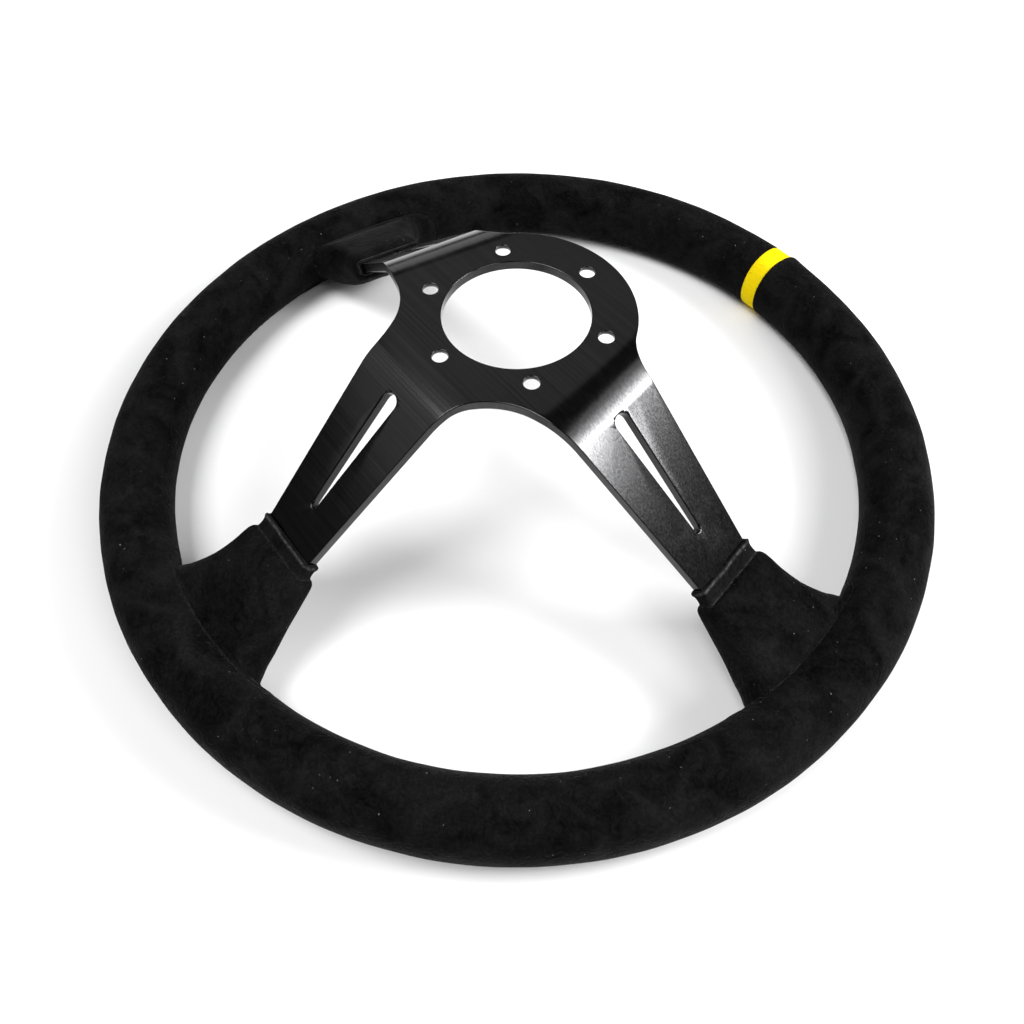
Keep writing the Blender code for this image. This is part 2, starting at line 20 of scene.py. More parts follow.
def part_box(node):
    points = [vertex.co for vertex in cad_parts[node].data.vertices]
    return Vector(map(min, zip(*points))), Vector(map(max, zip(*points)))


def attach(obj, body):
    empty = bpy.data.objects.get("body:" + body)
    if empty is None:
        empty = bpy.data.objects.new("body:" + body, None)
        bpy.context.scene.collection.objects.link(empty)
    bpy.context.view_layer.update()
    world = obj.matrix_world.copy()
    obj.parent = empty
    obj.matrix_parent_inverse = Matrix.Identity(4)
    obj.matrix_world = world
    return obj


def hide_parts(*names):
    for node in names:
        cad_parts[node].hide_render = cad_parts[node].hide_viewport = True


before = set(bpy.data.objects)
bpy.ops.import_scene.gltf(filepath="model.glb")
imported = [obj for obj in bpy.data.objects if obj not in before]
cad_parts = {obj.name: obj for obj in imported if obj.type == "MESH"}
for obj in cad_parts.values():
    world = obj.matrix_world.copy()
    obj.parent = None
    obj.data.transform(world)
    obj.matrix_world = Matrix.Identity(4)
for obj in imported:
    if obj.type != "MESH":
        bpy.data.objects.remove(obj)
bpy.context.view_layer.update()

# %% [markdown]
# ## Sizes
#
# A maker works from a few numbers. The rim's diameter and height, the dish and the mark's width are read
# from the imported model's boxes. The others repeat the solid's own dimensions, in metres and degrees.

# %% Read the driving sizes
rim_low, rim_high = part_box("rim_cover")
mark_low, mark_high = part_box("centre_mark")
RIM_OUTER = rim_high.x
GRIP_WIDTH = 0.028
GRIP_HEIGHT = rim_high.z - rim_low.z
GRIP_SQUARENESS = 2.2
RIM_RADIUS = RIM_OUTER - GRIP_WIDTH / 2
SUEDE = 0.0012
SEAM_ANGLE = 232.0
MARK_HALF_WIDTH = (mark_high.x - mark_low.x) / 2 * RIM_RADIUS / RIM_OUTER
HUB_FACE_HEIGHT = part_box("spoke_plate")[1].z
PLATE = 0.0040
print("rim", round(2 * RIM_OUTER, 4), "grip height", round(GRIP_HEIGHT, 4), "dish", round(HUB_FACE_HEIGHT, 4))

# %% [markdown]
# ## Arms
#
# Each arm leaves the hub in its own direction. It bends down with a wide radius, runs straight, and bends
# flat again inside the rim. A point on an arm is given by its length from the bend's start, its sideways
# place and its depth in the plate, so the same three numbers work on the flat sheet and on the bent plate.

# %% Place a point on a bent arm
# name, direction in degrees, how far the arm's middle line passes beside the axis
ARMS = [("right", 10.0, -0.0098), ("left", 170.0, 0.0098), ("bottom", 270.0, 0.0)]
BEND_START = 0.0383
BEND_RADIUS = 0.0280
BEND_ANGLE = math.radians(39.8)
TIP_BEND_RADIUS = 0.012
TIP_FACE_HEIGHT = 0.020
CUFF_AT = 0.0871
ARM_HALF_WIDTH_AT_CUFF = 0.0140
ARM_TAPER = 0.096
ARM_END_RADIUS = 0.167
BEND_LENGTH = BEND_RADIUS * BEND_ANGLE
BEND_DROP = (BEND_RADIUS + TIP_BEND_RADIUS) * (1 - math.cos(BEND_ANGLE))
STRAIGHT_LENGTH = (HUB_FACE_HEIGHT - BEND_DROP - TIP_FACE_HEIGHT) / math.sin(BEND_ANGLE)
TIP_BEND_START = BEND_LENGTH + STRAIGHT_LENGTH
TIP_BEND_END = TIP_BEND_START + TIP_BEND_RADIUS * BEND_ANGLE


def arm_ways(arm):
    """The arm's own direction, and the direction across it."""
    turn = math.radians(arm[1])
    return Vector((math.cos(turn), math.sin(turn), 0)), Vector((-math.sin(turn), math.cos(turn), 0))


def arm_point(arm, along, sideways, height):
    """A point given along and across one arm's own direction."""
    ahead, across = arm_ways(arm)
    return ahead * along + across * (sideways + arm[2]) + Vector((0, 0, height))


def arm_profile(length):
    """Distance from the axis, height and slope of the arm's column face, by length along it."""
    angle = min(max(length / BEND_RADIUS, 0), BEND_ANGLE)
    along = BEND_START + min(length, 0) + BEND_RADIUS * math.sin(angle)
    height = HUB_FACE_HEIGHT - BEND_RADIUS * (1 - math.cos(angle))
    straight = min(max(length - BEND_LENGTH, 0), STRAIGHT_LENGTH)
    back = min(max((length - TIP_BEND_START) / TIP_BEND_RADIUS, 0), BEND_ANGLE)
    slope = angle - back
    along += straight * math.cos(BEND_ANGLE)
    along += TIP_BEND_RADIUS * (math.sin(BEND_ANGLE) - math.sin(BEND_ANGLE - back))
    height -= straight * math.sin(BEND_ANGLE)
    height -= TIP_BEND_RADIUS * (math.cos(BEND_ANGLE - back) - math.cos(BEND_ANGLE))
    return along + max(length - TIP_BEND_END, 0), height, slope


def bent_point(arm, length, sideways, depth):
    """Where a point of the flat sheet goes when the arm is bent."""
    along, height, slope = arm_profile(length)
    return arm_point(arm, along - depth * math.sin(slope), sideways, height - depth * math.cos(slope))


def arm_half_width(length):
    """The arm narrows evenly up to the cuff."""
    return ARM_HALF_WIDTH_AT_CUFF + ARM_TAPER * max(CUFF_AT - length, 0)


ARM_LENGTH = TIP_BEND_END + ARM_END_RADIUS - arm_profile(TIP_BEND_END)[0]
print("arm, hub to tip, in mm:", round(1000 * ARM_LENGTH, 1))

# %% [markdown]
# ## Camera and light
#
# The wheel lies on its face on a white table. The camera looks down at it from the lower right. The plate is
# dark and glossy, so it shows what stands round it. A window of four panes, each dimmer than the one below,
# puts a bright band with a soft edge where the plate bends. Weak walls tint its flat parts grey. One large
# lamp overhead lights the suede and the table, and the room itself stays dim, which keeps the blacks black.

# %% Aim the camera
CAMERA_TURN = math.radians(51.35)
CAMERA_RISE = math.radians(53.52)
CAMERA_DISTANCE = 0.4036
CAMERA_ROLL = math.radians(-0.11)


def from_sky(turn, rise):
    """Direction from the wheel towards something seen at that turn and rise."""
    return Vector((math.sin(turn) * math.cos(rise), -math.cos(turn) * math.cos(rise), math.sin(rise)))


def aim(aimed, position, target, roll=0.0):
    """Put a camera or lamp somewhere and point it at a target."""
    back = (position - target).normalized()
    right = Vector((0, 0, 1)).cross(back).normalized()
    up = back.cross(right)
    tilted = right * math.cos(roll) + up * math.sin(roll)
    upright = up * math.cos(roll) - right * math.sin(roll)
    turned = Matrix((tilted, upright, back)).transposed().to_4x4()
    aimed.matrix_world = Matrix.Translation(position) @ turned


camera_lens = bpy.data.cameras.new("studio_camera")
camera_lens.sensor_width = 36.0
camera_lens.lens = 31.36
camera_lens.shift_x = -0.0046
camera_lens.shift_y = -0.053
camera = bpy.data.objects.new("studio_camera", camera_lens)
bpy.context.scene.collection.objects.link(camera)
aim(camera, from_sky(CAMERA_TURN, CAMERA_RISE) * CAMERA_DISTANCE, Vector((0, 0, 0)), CAMERA_ROLL)
bpy.context.scene.camera = camera
bpy.context.scene.view_settings.view_transform = "Standard"
print("camera at", [round(v, 3) for v in camera.matrix_world.translation])

# %% Hang the lamps
LAMPS = {
    # name: turn, rise, distance, width, height, watts
    "window_pane_1": (139, 31.0, 1.3, 0.60, 0.15, 12.5),
    "window_pane_2": (141, 37.5, 1.3, 0.60, 0.15, 4.6),
    "window_pane_3": (145, 44.0, 1.3, 0.60, 0.15, 1.5),
    "window_pane_4": (151, 50.5, 1.3, 0.60, 0.15, 0.5),
    "window_right": (95, 42, 1.5, 0.60, 0.60, 8.0),
    "wall_behind_left": (234, 46, 1.5, 0.80, 0.54, 0.50),
    "low_wall_behind_left": (243, 15, 1.5, 0.90, 0.50, 1.4),
    "wall_left_top": (285, 60, 1.5, 1.10, 0.60, 0.9),
    "wall_left": (312, 35, 1.5, 1.40, 0.72, 1.9),
    "ceiling": (330, 66, 2.2, 1.10, 1.10, 38.0),
}
hub_middle = Vector((0, 0, HUB_FACE_HEIGHT))
for name, (turn, rise, distance, width, height, watts) in LAMPS.items():
    lamp = bpy.data.lights.new(name, "AREA")
    lamp.shape = "RECTANGLE"
    lamp.size = width
    lamp.size_y = height
    lamp.energy = watts
    hung = bpy.data.objects.new(name, lamp)
    bpy.context.scene.collection.objects.link(hung)
    aim(hung, hub_middle + from_sky(math.radians(turn), math.radians(rise)) * distance, hub_middle)
print("lamps:", len(LAMPS))

# %% Light the room
ROOM_STRENGTH = 0.08
room = bpy.data.worlds.new("white_room")
room.use_nodes = True
background = room.node_tree.nodes["Background"]
background.inputs["Color"].default_value = (1.0, 1.0, 1.0, 1.0)
background.inputs["Strength"].default_value = ROOM_STRENGTH
bpy.context.scene.world = room
print("room light:", ROOM_STRENGTH)

# %% [markdown]
# ## Finishes
#
# Every finish is made of nodes. A few effects come back in several finishes: the nap of suede, the grain of
# a brushed sheet, and the marks that hands leave. Each one is built once as a node group, which gives out
# colours and masks only, and each finish places it with its own values.

# %% Helpers for node trees
def place(tree, kind, **settings):
    """Add a node and set its plain attributes."""
    made = tree.nodes.new(kind)
    for name, value in settings.items():
        setattr(made, name, value)
    return made


def noise(tree, where, scale, detail=2.0, distortion=0.0):
    """A noise value; its scale is a number or another node's output."""
    made = place(tree, "ShaderNodeTexNoise")
    made.inputs["Detail"].default_value = detail
    made.inputs["Distortion"].default_value = distortion
    tree.links.new(where, made.inputs["Vector"])
    if isinstance(scale, float):
        made.inputs["Scale"].default_value = scale
    else:
        tree.links.new(scale, made.inputs["Scale"])
    return made.outputs["Fac"]


def spread(tree, value, low, high, new_low=0.0, new_high=1.0):
    """Stretch the part of a value between low and high to a new span."""
    made = place(tree, "ShaderNodeMapRange")
    made.inputs["From Min"].default_value = low
    made.inputs["From Max"].default_value = high
    made.inputs["To Min"].default_value = new_low
    made.inputs["To Max"].default_value = new_high
    tree.links.new(value, made.inputs["Value"])
    return made.outputs["Result"]


def combine(tree, operation, first, second):
    """Arithmetic on two values, each a number or another node's output."""
    made = place(tree, "ShaderNodeMath", operation=operation)
    for socket, value in zip(made.inputs, (first, second)):
        if isinstance(value, float):
            socket.default_value = value
        else:
            tree.links.new(value, socket)
    return made.outputs["Value"]


def blend_colours(tree, amount, first, second):
    """The first colour at amount 0, the second at 1."""
    made = place(tree, "ShaderNodeMix", data_type="RGBA")
    for socket, value in ((made.inputs[0], amount), (made.inputs[6], first), (made.inputs[7], second)):
        if isinstance(value, (float, tuple)):
            socket.default_value = value
        else:
            tree.links.new(value, socket)
    return made.outputs[2]


def new_group(name, inputs, outputs):
    """An empty node group with named inputs (name: (type, value)) and outputs (name: type)."""
    group = bpy.data.node_groups.new(name, "ShaderNodeTree")
    for title, (kind, value) in inputs.items():
        socket = group.interface.new_socket(title, in_out="INPUT", socket_type=kind)
        socket.default_value = value
    for title, kind in outputs.items():
        group.interface.new_socket(title, in_out="OUTPUT", socket_type=kind)
    entry = group.nodes.new("NodeGroupInput")
    leave = group.nodes.new("NodeGroupOutput")
    where = group.nodes.new("ShaderNodeTexCoord").outputs["Object"]
    return group, entry.outputs, leave.inputs, where


NUMBER = "NodeSocketFloat"
COLOUR = "NodeSocketColor"

# %% [markdown]
# ### Suede
#
# Suede is leather with its fibres raised. Where a hand has stroked it, the fibres lie over and the patch
# looks lighter or darker, so the colour wanders over a centimetre or two. Close up the fibres themselves show
# as a fine felt, with a speck of lint here and there. Patch, streak and felt come from three sizes of noise.
# The folds of the cuffs get a lighter grey as a painted highlight, and each boot gets a faint lighter grey
# line along the top of its foot. Each mesh says where that is, in a point attribute.

# %% Suede nap
nap, taken, given, where = new_group(
    "suede_nap",
    {
        "Stroked Down": (COLOUR, (0.01, 0.01, 0.01, 1)),
        "Brushed Up": (COLOUR, (0.04, 0.04, 0.04, 1)),
        "Patch Scale": (NUMBER, 60.0),
        "Fibre Scale": (NUMBER, 1100.0),
        "Lint": (NUMBER, 1.0),
    },
    {"Colour": COLOUR, "Roughness": NUMBER, "Height": NUMBER},
)
patch = spread(nap, noise(nap, where, taken["Patch Scale"], 3.0, 1.2), 0.34, 0.68)
streak = spread(nap, noise(nap, where, 240.0, 3.0, 2.5), 0.32, 0.70)
fibre = noise(nap, where, taken["Fibre Scale"], 4.0, 1.0)
wander = combine(nap, "ADD", combine(nap, "MULTIPLY", patch, 0.62), combine(nap, "MULTIPLY", streak, 0.38))
felt = combine(nap, "MULTIPLY", wander, spread(nap, fibre, 0.30, 0.72, 0.55, 1.35))
cloth = blend_colours(nap, felt, taken["Stroked Down"], taken["Brushed Up"])
speck = spread(nap, noise(nap, where, 850.0, 0.0), 0.865, 0.885)
lint = combine(nap, "MULTIPLY", speck, taken["Lint"])
nap.links.new(blend_colours(nap, lint, cloth, (0.10, 0.10, 0.10, 1.0)), given["Colour"])
nap.links.new(spread(nap, wander, 0.0, 1.0, 0.98, 0.86), given["Roughness"])
nap.links.new(combine(nap, "ADD", fibre, combine(nap, "MULTIPLY", streak, 0.8)), given["Height"])
print("group:", nap.name)

# %% [markdown]
# ### Brushed grain and handling marks
#
# The sheet was brushed along its length before it was anodised, which leaves hair-fine scratches in one
# direction. Stretching the noise along X draws them. Hands leave faint lighter clouds, so the second group
# gives a soft mask with a sharp enough edge to read as a print.

# %% Brushed grain
grain, taken, given, where = new_group(
    "brushed_grain",
    {"Stretch": (NUMBER, 14.0), "Fineness": (NUMBER, 1500.0)},
    {"Scratch": NUMBER, "Height": NUMBER},
)
lay = place(grain, "ShaderNodeCombineXYZ")
grain.links.new(taken["Stretch"], lay.inputs["X"])
grain.links.new(taken["Fineness"], lay.inputs["Y"])
grain.links.new(taken["Fineness"], lay.inputs["Z"])
stretched = place(grain, "ShaderNodeVectorMath", operation="MULTIPLY")
grain.links.new(where, stretched.inputs[0])
grain.links.new(lay.outputs["Vector"], stretched.inputs[1])
scratch = noise(grain, stretched.outputs["Vector"], 1.0, 3.0)
grain.links.new(spread(grain, scratch, 0.30, 0.70), given["Scratch"])
grain.links.new(scratch, given["Height"])
print("group:", grain.name)

# %% Handling marks
marks, taken, given, where = new_group("handling_marks", {"Scale": (NUMBER, 38.0)}, {"Mask": NUMBER})
cloud = noise(marks, where, taken["Scale"], 2.0, 0.6)
ridges = noise(marks, where, 900.0, 1.0, 3.0)
print_shape = spread(marks, cloud, 0.56, 0.66)
print_lines = spread(marks, ridges, 0.2, 0.7, 0.5, 1.0)
marks.links.new(combine(marks, "MULTIPLY", print_shape, print_lines), given["Mask"])
print("group:", marks.name)


# %% Put a group and a shader in a finish
def new_finish(name, metallic=0.0, roughness=0.5):
    """A material with its node tree and its shader."""
    made = bpy.data.materials.new(name)
    made.use_nodes = True
    shader = made.node_tree.nodes["Principled BSDF"]
    shader.inputs["Metallic"].default_value = metallic
    shader.inputs["Roughness"].default_value = roughness
    return made, made.node_tree, shader


def use_group(tree, group, **values):
    """Place a node group with its own values; an underscore stands for a space in a name."""
    made = place(tree, "ShaderNodeGroup", node_tree=group)
    for title, value in values.items():
        made.inputs[title.replace("_", " ")].default_value = value
    return made.outputs


def raise_surface(tree, shader, height, distance, strength=1.0):
    """Let a height value tilt the light on the surface."""
    bump = place(tree, "ShaderNodeBump")
    bump.inputs["Strength"].default_value = strength
    bump.inputs["Distance"].default_value = distance
    tree.links.new(height, bump.inputs["Height"])
    tree.links.new(bump.outputs["Normal"], shader.inputs["Normal"])


# %% Suede finishes
# Lighter grey in the suede's colour: a painted highlight on the cuffs' folds, and a faint lighter line near
# the boots' feet.
LIGHTER_GREY = (0.11, 0.11, 0.11, 1.0)


def suede(name, pressed, brushed, lint, sheen):
    """Suede in two shades of one colour, lighter grey where the mesh's attribute asks (a painted highlight on
    cuff folds).
    """
    made, tree, shader = new_finish(name)
    outputs = use_group(tree, nap, Stroked_Down=pressed, Brushed_Up=brushed, Lint=lint)
    lightened = place(tree, "ShaderNodeAttribute", attribute_name="lightened").outputs["Fac"]
    where = place(tree, "ShaderNodeTexCoord").outputs["Object"]
    # A lighter grey, broken up by noise, goes where the attribute asks; on the cuffs' folds it is a painted
    # highlight.
    patchiness = spread(tree, noise(tree, where, 700.0, 3.0), 0.42, 0.62, 0.25, 1.0)
    lighter_amount = combine(tree, "MULTIPLY", lightened, patchiness)
    coloured = blend_colours(tree, lighter_amount, outputs["Colour"], LIGHTER_GREY)
    tree.links.new(coloured, shader.inputs["Base Color"])
    tree.links.new(outputs["Roughness"], shader.inputs["Roughness"])
    shader.inputs["Specular IOR Level"].default_value = 0.03
    shader.inputs["Sheen Weight"].default_value = sheen
    shader.inputs["Sheen Roughness"].default_value = 0.28
    shader.inputs["Sheen Tint"].default_value = (0.9, 0.9, 0.92, 1)
    raise_surface(tree, shader, outputs["Height"], 0.0004, 0.7)
    return made


black_suede = suede("black_suede", (0.0010, 0.0010, 0.0011, 1), (0.0098, 0.0098, 0.0101, 1), 1.0, 0.05)
cuff_suede = suede("folded_cuff_suede", (0.0018, 0.0018, 0.0019, 1), (0.013, 0.013, 0.0135, 1), 1.0, 0.04)
yellow_suede = suede("yellow_suede", (0.83, 0.60, 0.002, 1), (0.95, 0.74, 0.008, 1), 0.0, 0.05)
print("suedes:", black_suede.name, cuff_suede.name, yellow_suede.name)

# %% [markdown]
# ### Anodised aluminium
#
# Black anodising is a thin, glassy, dyed layer on the brushed metal. It is nearly black straight on and
# shines in a soft band where the plate bends. A dark metal with a low roughness gives that band, and the
# grain changes the roughness a little from scratch to scratch. Hand prints are a little greyer and duller.

# %% Anodised plate finish
anodised, tree, shader = new_finish("black_anodised_plate", metallic=1.0)
brushed = use_group(tree, grain, Stretch=14.0, Fineness=1500.0)
touched = use_group(tree, marks, Scale=38.0)
base = blend_colours(tree, brushed["Scratch"], (0.038, 0.038, 0.039, 1.0), (0.060, 0.060, 0.061, 1.0))
greyed = combine(tree, "MULTIPLY", touched["Mask"], 0.06)
tree.links.new(blend_colours(tree, greyed, base, (0.13, 0.13, 0.13, 1.0)), shader.inputs["Base Color"])
gloss = spread(tree, brushed["Scratch"], 0.0, 1.0, 0.15, 0.19)
dulled = combine(tree, "MULTIPLY", touched["Mask"], 0.03)
tree.links.new(combine(tree, "ADD", gloss, dulled), shader.inputs["Roughness"])
raise_surface(tree, shader, brushed["Height"], 0.00001, 0.4)
print("finish:", anodised.name)

# %% [markdown]
# ### The pieces inside
#
# The ring, the rivets and the foam are hidden by the suede. They still get their real finish: zinc-plated
# strip, plain aluminium, and foam with open cells. The thread that sews the suede is waxed and black.

# %% Metal, foam and thread
def bare_metal(name, dull, bright, roughness):
    """Scratched metal, duller where it was touched."""
    made, tree, shader = new_finish(name, metallic=1.0)
    scratches = use_group(tree, grain, Stretch=60.0, Fineness=900.0)
    touched = use_group(tree, marks, Scale=70.0)
    tree.links.new(blend_colours(tree, touched["Mask"], bright, dull), shader.inputs["Base Color"])
    rough = spread(tree, scratches["Scratch"], 0.0, 1.0, roughness, roughness + 0.15)
    tree.links.new(rough, shader.inputs["Roughness"])
    raise_surface(tree, shader, scratches["Height"], 0.00004, 0.5)
    return made


zinc = bare_metal("zinc_plated_ring", (0.30, 0.31, 0.34, 1.0), (0.58, 0.60, 0.64, 1.0), 0.30)
rivet_metal = bare_metal("rivet_aluminium", (0.45, 0.45, 0.46, 1.0), (0.78, 0.78, 0.79, 1.0), 0.35)

foam_finish, tree, shader = new_finish("open_cell_foam", roughness=0.95)
where = place(tree, "ShaderNodeTexCoord").outputs["Object"]
cells = place(tree, "ShaderNodeTexVoronoi")
cells.inputs["Scale"].default_value = 900.0
tree.links.new(where, cells.inputs["Vector"])
pores = spread(tree, cells.outputs["Distance"], 0.1, 0.7)
speckled = blend_colours(tree, pores, (0.06, 0.06, 0.065, 1.0), (0.20, 0.20, 0.21, 1.0))
tree.links.new(speckled, shader.inputs["Base Color"])
raise_surface(tree, shader, pores, 0.0004)

thread_finish, tree, shader = new_finish("waxed_black_thread", roughness=0.55)
where = place(tree, "ShaderNodeTexCoord").outputs["Object"]
plies = noise(tree, where, 2600.0, 2.0, 1.5)
twisted = blend_colours(tree, plies, (0.012, 0.012, 0.013, 1.0), (0.07, 0.07, 0.072, 1.0))
tree.links.new(twisted, shader.inputs["Base Color"])
shader.inputs["Sheen Weight"].default_value = 0.2
raise_surface(tree, shader, plies, 0.0001)
print("inner finishes:", zinc.name, rivet_metal.name, foam_finish.name, thread_finish.name)

# %% [markdown]
# ## The spoke plate
#
# The plate is one sheet: a disc with three arms, cut out flat, its edges rounded over, and then bent. The
# mesh is made in the same order. Every cut edge is a closed line of points with its own edge profile, so
# the outline gets a small rounding, the slots a chamfer and the screw holes a countersink. Two caps close the
# sheet, lines are scored where it bends, and every point is carried to its place on the bent plate.

# %% Round the corner between two edges
def fillet(before, corner, after, radius, steps):
    """Points of the arc that touches both edges."""
    to_before = (before - corner).normalized()
    to_after = (after - corner).normalized()
    half = to_before.angle(to_after) / 2
    centre = corner + (to_before + to_after).normalized() * radius / math.sin(half)
    start = corner + to_before * radius / math.tan(half) - centre
    turn = (corner + to_after * radius / math.tan(half) - centre).angle_signed(start)
    return [centre + Matrix.Rotation(turn * k / steps, 2) @ start for k in range(steps + 1)]


def crossing(point_a, way_a, point_b, way_b):
    """Where two lines cross."""
    return point_a + way_a * ((point_b - point_a).cross(way_b) / way_a.cross(way_b))


def flat_point(arm, length, sideways):
    """A point of an arm on the flat sheet."""
    return arm_point(arm, BEND_START + length, sideways, 0).to_2d()


# %% Draw the outline
HUB_RADIUS = 0.0453
ARM_END_CORNER = 0.005
ARCH_RADIUS = 0.0285
SHOULDER_RADIUS = 0.018
HUB_STEPS = 56


def shoulder(edge_point, edge_way, steps):
    """Arc between the upper edge of a side arm and the hub disc."""
    outward = Vector((-edge_way.y, edge_way.x))
    base = edge_point + outward * SHOULDER_RADIUS
    middle = base.dot(edge_way)
    reach = HUB_RADIUS + SHOULDER_RADIUS
    centre = base + edge_way * (-middle + math.sqrt(middle**2 - base.length_squared + reach**2))
    start = -outward * SHOULDER_RADIUS
    turn = (-centre).angle_signed(start)
    return [centre + Matrix.Rotation(turn * k / steps, 2) @ start for k in range(steps + 1)]


def half_outline():
    """The outline on the +X side, from the bottom arm's end up to the top of the hub disc."""
    right, _, bottom = ARMS

    def side_line(arm, side):
        """One side of an arm: its points at the hub, at the cuff and at the arm's end."""
        return [flat_point(arm, at, side * arm_half_width(at)) for at in (0, CUFF_AT, ARM_LENGTH)]

    bottom_hub, bottom_cuff, bottom_end = side_line(bottom, 1)
    lower_hub, lower_cuff, lower_end = side_line(right, -1)
    upper_hub, upper_cuff, upper_end = side_line(right, 1)
    arch_corner = crossing(bottom_hub, bottom_cuff - bottom_hub, lower_hub, lower_cuff - lower_hub)
    points = fillet(flat_point(bottom, ARM_LENGTH, 0), bottom_end, bottom_cuff, ARM_END_CORNER, 8)
    points += [bottom_cuff, *fillet(bottom_cuff, arch_corner, lower_cuff, ARCH_RADIUS, 48), lower_cuff]
    points += fillet(lower_cuff, lower_end, upper_end, ARM_END_CORNER, 8)
    points += fillet(lower_end, upper_end, upper_cuff, ARM_END_CORNER, 8)
    points += [upper_cuff, *shoulder(upper_hub, (upper_cuff - upper_hub).normalized(), 20)]
    first = math.atan2(points[-1].y, points[-1].x)
    for k in range(1, HUB_STEPS):
        turn = first + (math.pi / 2 - first) * k / HUB_STEPS
        points.append(Vector((math.cos(turn), math.sin(turn))) * HUB_RADIUS)
    return points


half = half_outline()
outline = half + [Vector((0, HUB_RADIUS))] + [Vector((-p.x, p.y)) for p in reversed(half)]
print("outline points:", len(outline))

# %% Draw the holes and slots
CENTRE_HOLE_RADIUS = 0.028
SCREW_CIRCLE_RADIUS = 0.035
SCREW_HOLE_RADIUS = 0.0030
SLOT_HUB = (0.0223, 0.0035)
SLOT_TIP = (0.0701, 0.0013)


def ring_of_points(centre, radius, steps):
    """A circle, clockwise, so that the sheet lies on its left as it does along the outline."""
    turns = [-math.tau * k / steps for k in range(steps)]
    return [Vector(centre) + Vector((math.cos(turn), math.sin(turn))) * radius for turn in turns]


def slot_points(arm):
    """A long slot with round ends, wide near the hub and narrow near the rim."""
    (hub, hub_radius), (tip, tip_radius) = SLOT_HUB, SLOT_TIP
    lean = math.asin((hub_radius - tip_radius) / (tip - hub))
    points = []
    for centre, radius, first, last in (
        (hub, hub_radius, math.pi / 2 - lean, 3 * math.pi / 2 + lean),
        (tip, tip_radius, -math.pi / 2 + lean, math.pi / 2 - lean),
    ):
        for k in range(17):
            turn = first + (last - first) * k / 16
            points.append(flat_point(arm, centre + radius * math.cos(turn), radius * math.sin(turn)))
    return points[::-1]


screw_turns = [math.pi / 2 + math.tau * k / 6 for k in range(6)]
screws = [Vector((math.cos(turn), math.sin(turn))) * SCREW_CIRCLE_RADIUS for turn in screw_turns]
print("slots:", len(ARMS), "screw holes:", len(screws))

# %% Shape the cut edges
EDGE_ROUND = 0.0004
SINK = 0.0025
EDGE_BREAK = 0.0001


def rounded_edge(radius, steps=3):
    """Steps of a rounded edge from the column face to the driver's face: (cut back, depth)."""
    turns = [math.pi / 2 * k / steps for k in range(steps + 1)]
    upper = [(radius * (1 - math.sin(t)), radius * (1 - math.cos(t))) for t in turns]
    return upper + [(back, PLATE - depth) for back, depth in reversed(upper)]


# cut back from the drawn line, depth below the column face
SLOT_EDGE = [(0.0005, 0), (0.00012, 0.0003), (0, 0.0006)]
SLOT_EDGE += [(0, PLATE - EDGE_ROUND), (EDGE_BREAK, PLATE - EDGE_BREAK), (EDGE_ROUND, PLATE)]
SCREW_EDGE = [(0.0003, 0), (EDGE_BREAK, EDGE_BREAK), (0, 0.0003)]
SCREW_EDGE += [(0, PLATE - SINK), (SINK - EDGE_BREAK, PLATE - EDGE_BREAK), (SINK, PLATE)]
cut_edges = [(outline, rounded_edge(EDGE_ROUND))]
cut_edges.append((ring_of_points((0, 0), CENTRE_HOLE_RADIUS, 128), rounded_edge(EDGE_ROUND)))
cut_edges += [(ring_of_points(screw, SCREW_HOLE_RADIUS, 40), SCREW_EDGE) for screw in screws]
cut_edges += [(slot_points(arm), SLOT_EDGE) for arm in ARMS]
print("cut edges:", len(cut_edges))


def set_back(points, distance):
    """Move a closed line into the sheet, which lies on its left."""
    moved = []
    for k, point in enumerate(points):
        before = (point - points[k - 1]).normalized()
        after = (points[(k + 1) % len(points)] - point).normalized()
        inward = Vector((-before.y - after.y, before.x + after.x)).normalized()
        moved.append(point + inward * distance / max(inward.dot(Vector((-after.y, after.x))), 0.5))
    return moved


# %% Build the flat sheet
sheet = bmesh.new()
upper_lines, lower_lines, upper_points, lower_points = [], [], [], []
for points, edge in cut_edges:
    lines = [[(*p, -depth) for p in set_back(points, back)] for back, depth in edge]
    rows = [[sheet.verts.new(p) for p in line] for line in lines]
    for row, next_row in zip(rows, rows[1:]):
        for k in range(len(row)):
            sheet.faces.new((row[k - 1], row[k], next_row[k], next_row[k - 1]))
    upper_lines.append([Vector((p[0], p[1], 0)) for p in lines[0]])
    lower_lines.append([Vector((p[0], p[1], 0)) for p in lines[-1]])
    upper_points += rows[0]
    lower_points += rows[-1]
for lines, corners in ((upper_lines, upper_points), (lower_lines, lower_points)):
    for triangle in tessellate_polygon(lines):
        sheet.faces.new([corners[k] for k in triangle])
print("flat sheet faces:", len(sheet.faces))

# %% Score the bend lines and bend the sheet
score_lengths = [BEND_LENGTH * k / 16 for k in range(17)]
score_lengths += [BEND_LENGTH + STRAIGHT_LENGTH * k / 6 for k in range(1, 6)]
score_lengths += [TIP_BEND_START + (TIP_BEND_END - TIP_BEND_START) * k / 6 for k in range(7)]
for arm in ARMS:
    ahead, across = arm_ways(arm)
    for length in score_lengths:
        whole = sheet.verts[:] + sheet.edges[:] + sheet.faces[:]
        scored_at = ahead * (BEND_START + length)
        bmesh.ops.bisect_plane(sheet, geom=whole, dist=1e-7, plane_co=scored_at, plane_no=ahead)


def bend(point):
    """Carry a point of the flat sheet to its place on the bent plate."""
    for arm in ARMS:
        ahead, across = arm_ways(arm)
        length = point.dot(ahead) - BEND_START
        if length > 0:
            return bent_point(arm, length, point.dot(across) - arm[2], -point.z)
    return Vector((point.x, point.y, HUB_FACE_HEIGHT + point.z))


for vertex in sheet.verts:
    vertex.co = bend(vertex.co)
bmesh.ops.recalc_face_normals(sheet, faces=sheet.faces)
print("bent sheet faces:", len(sheet.faces))


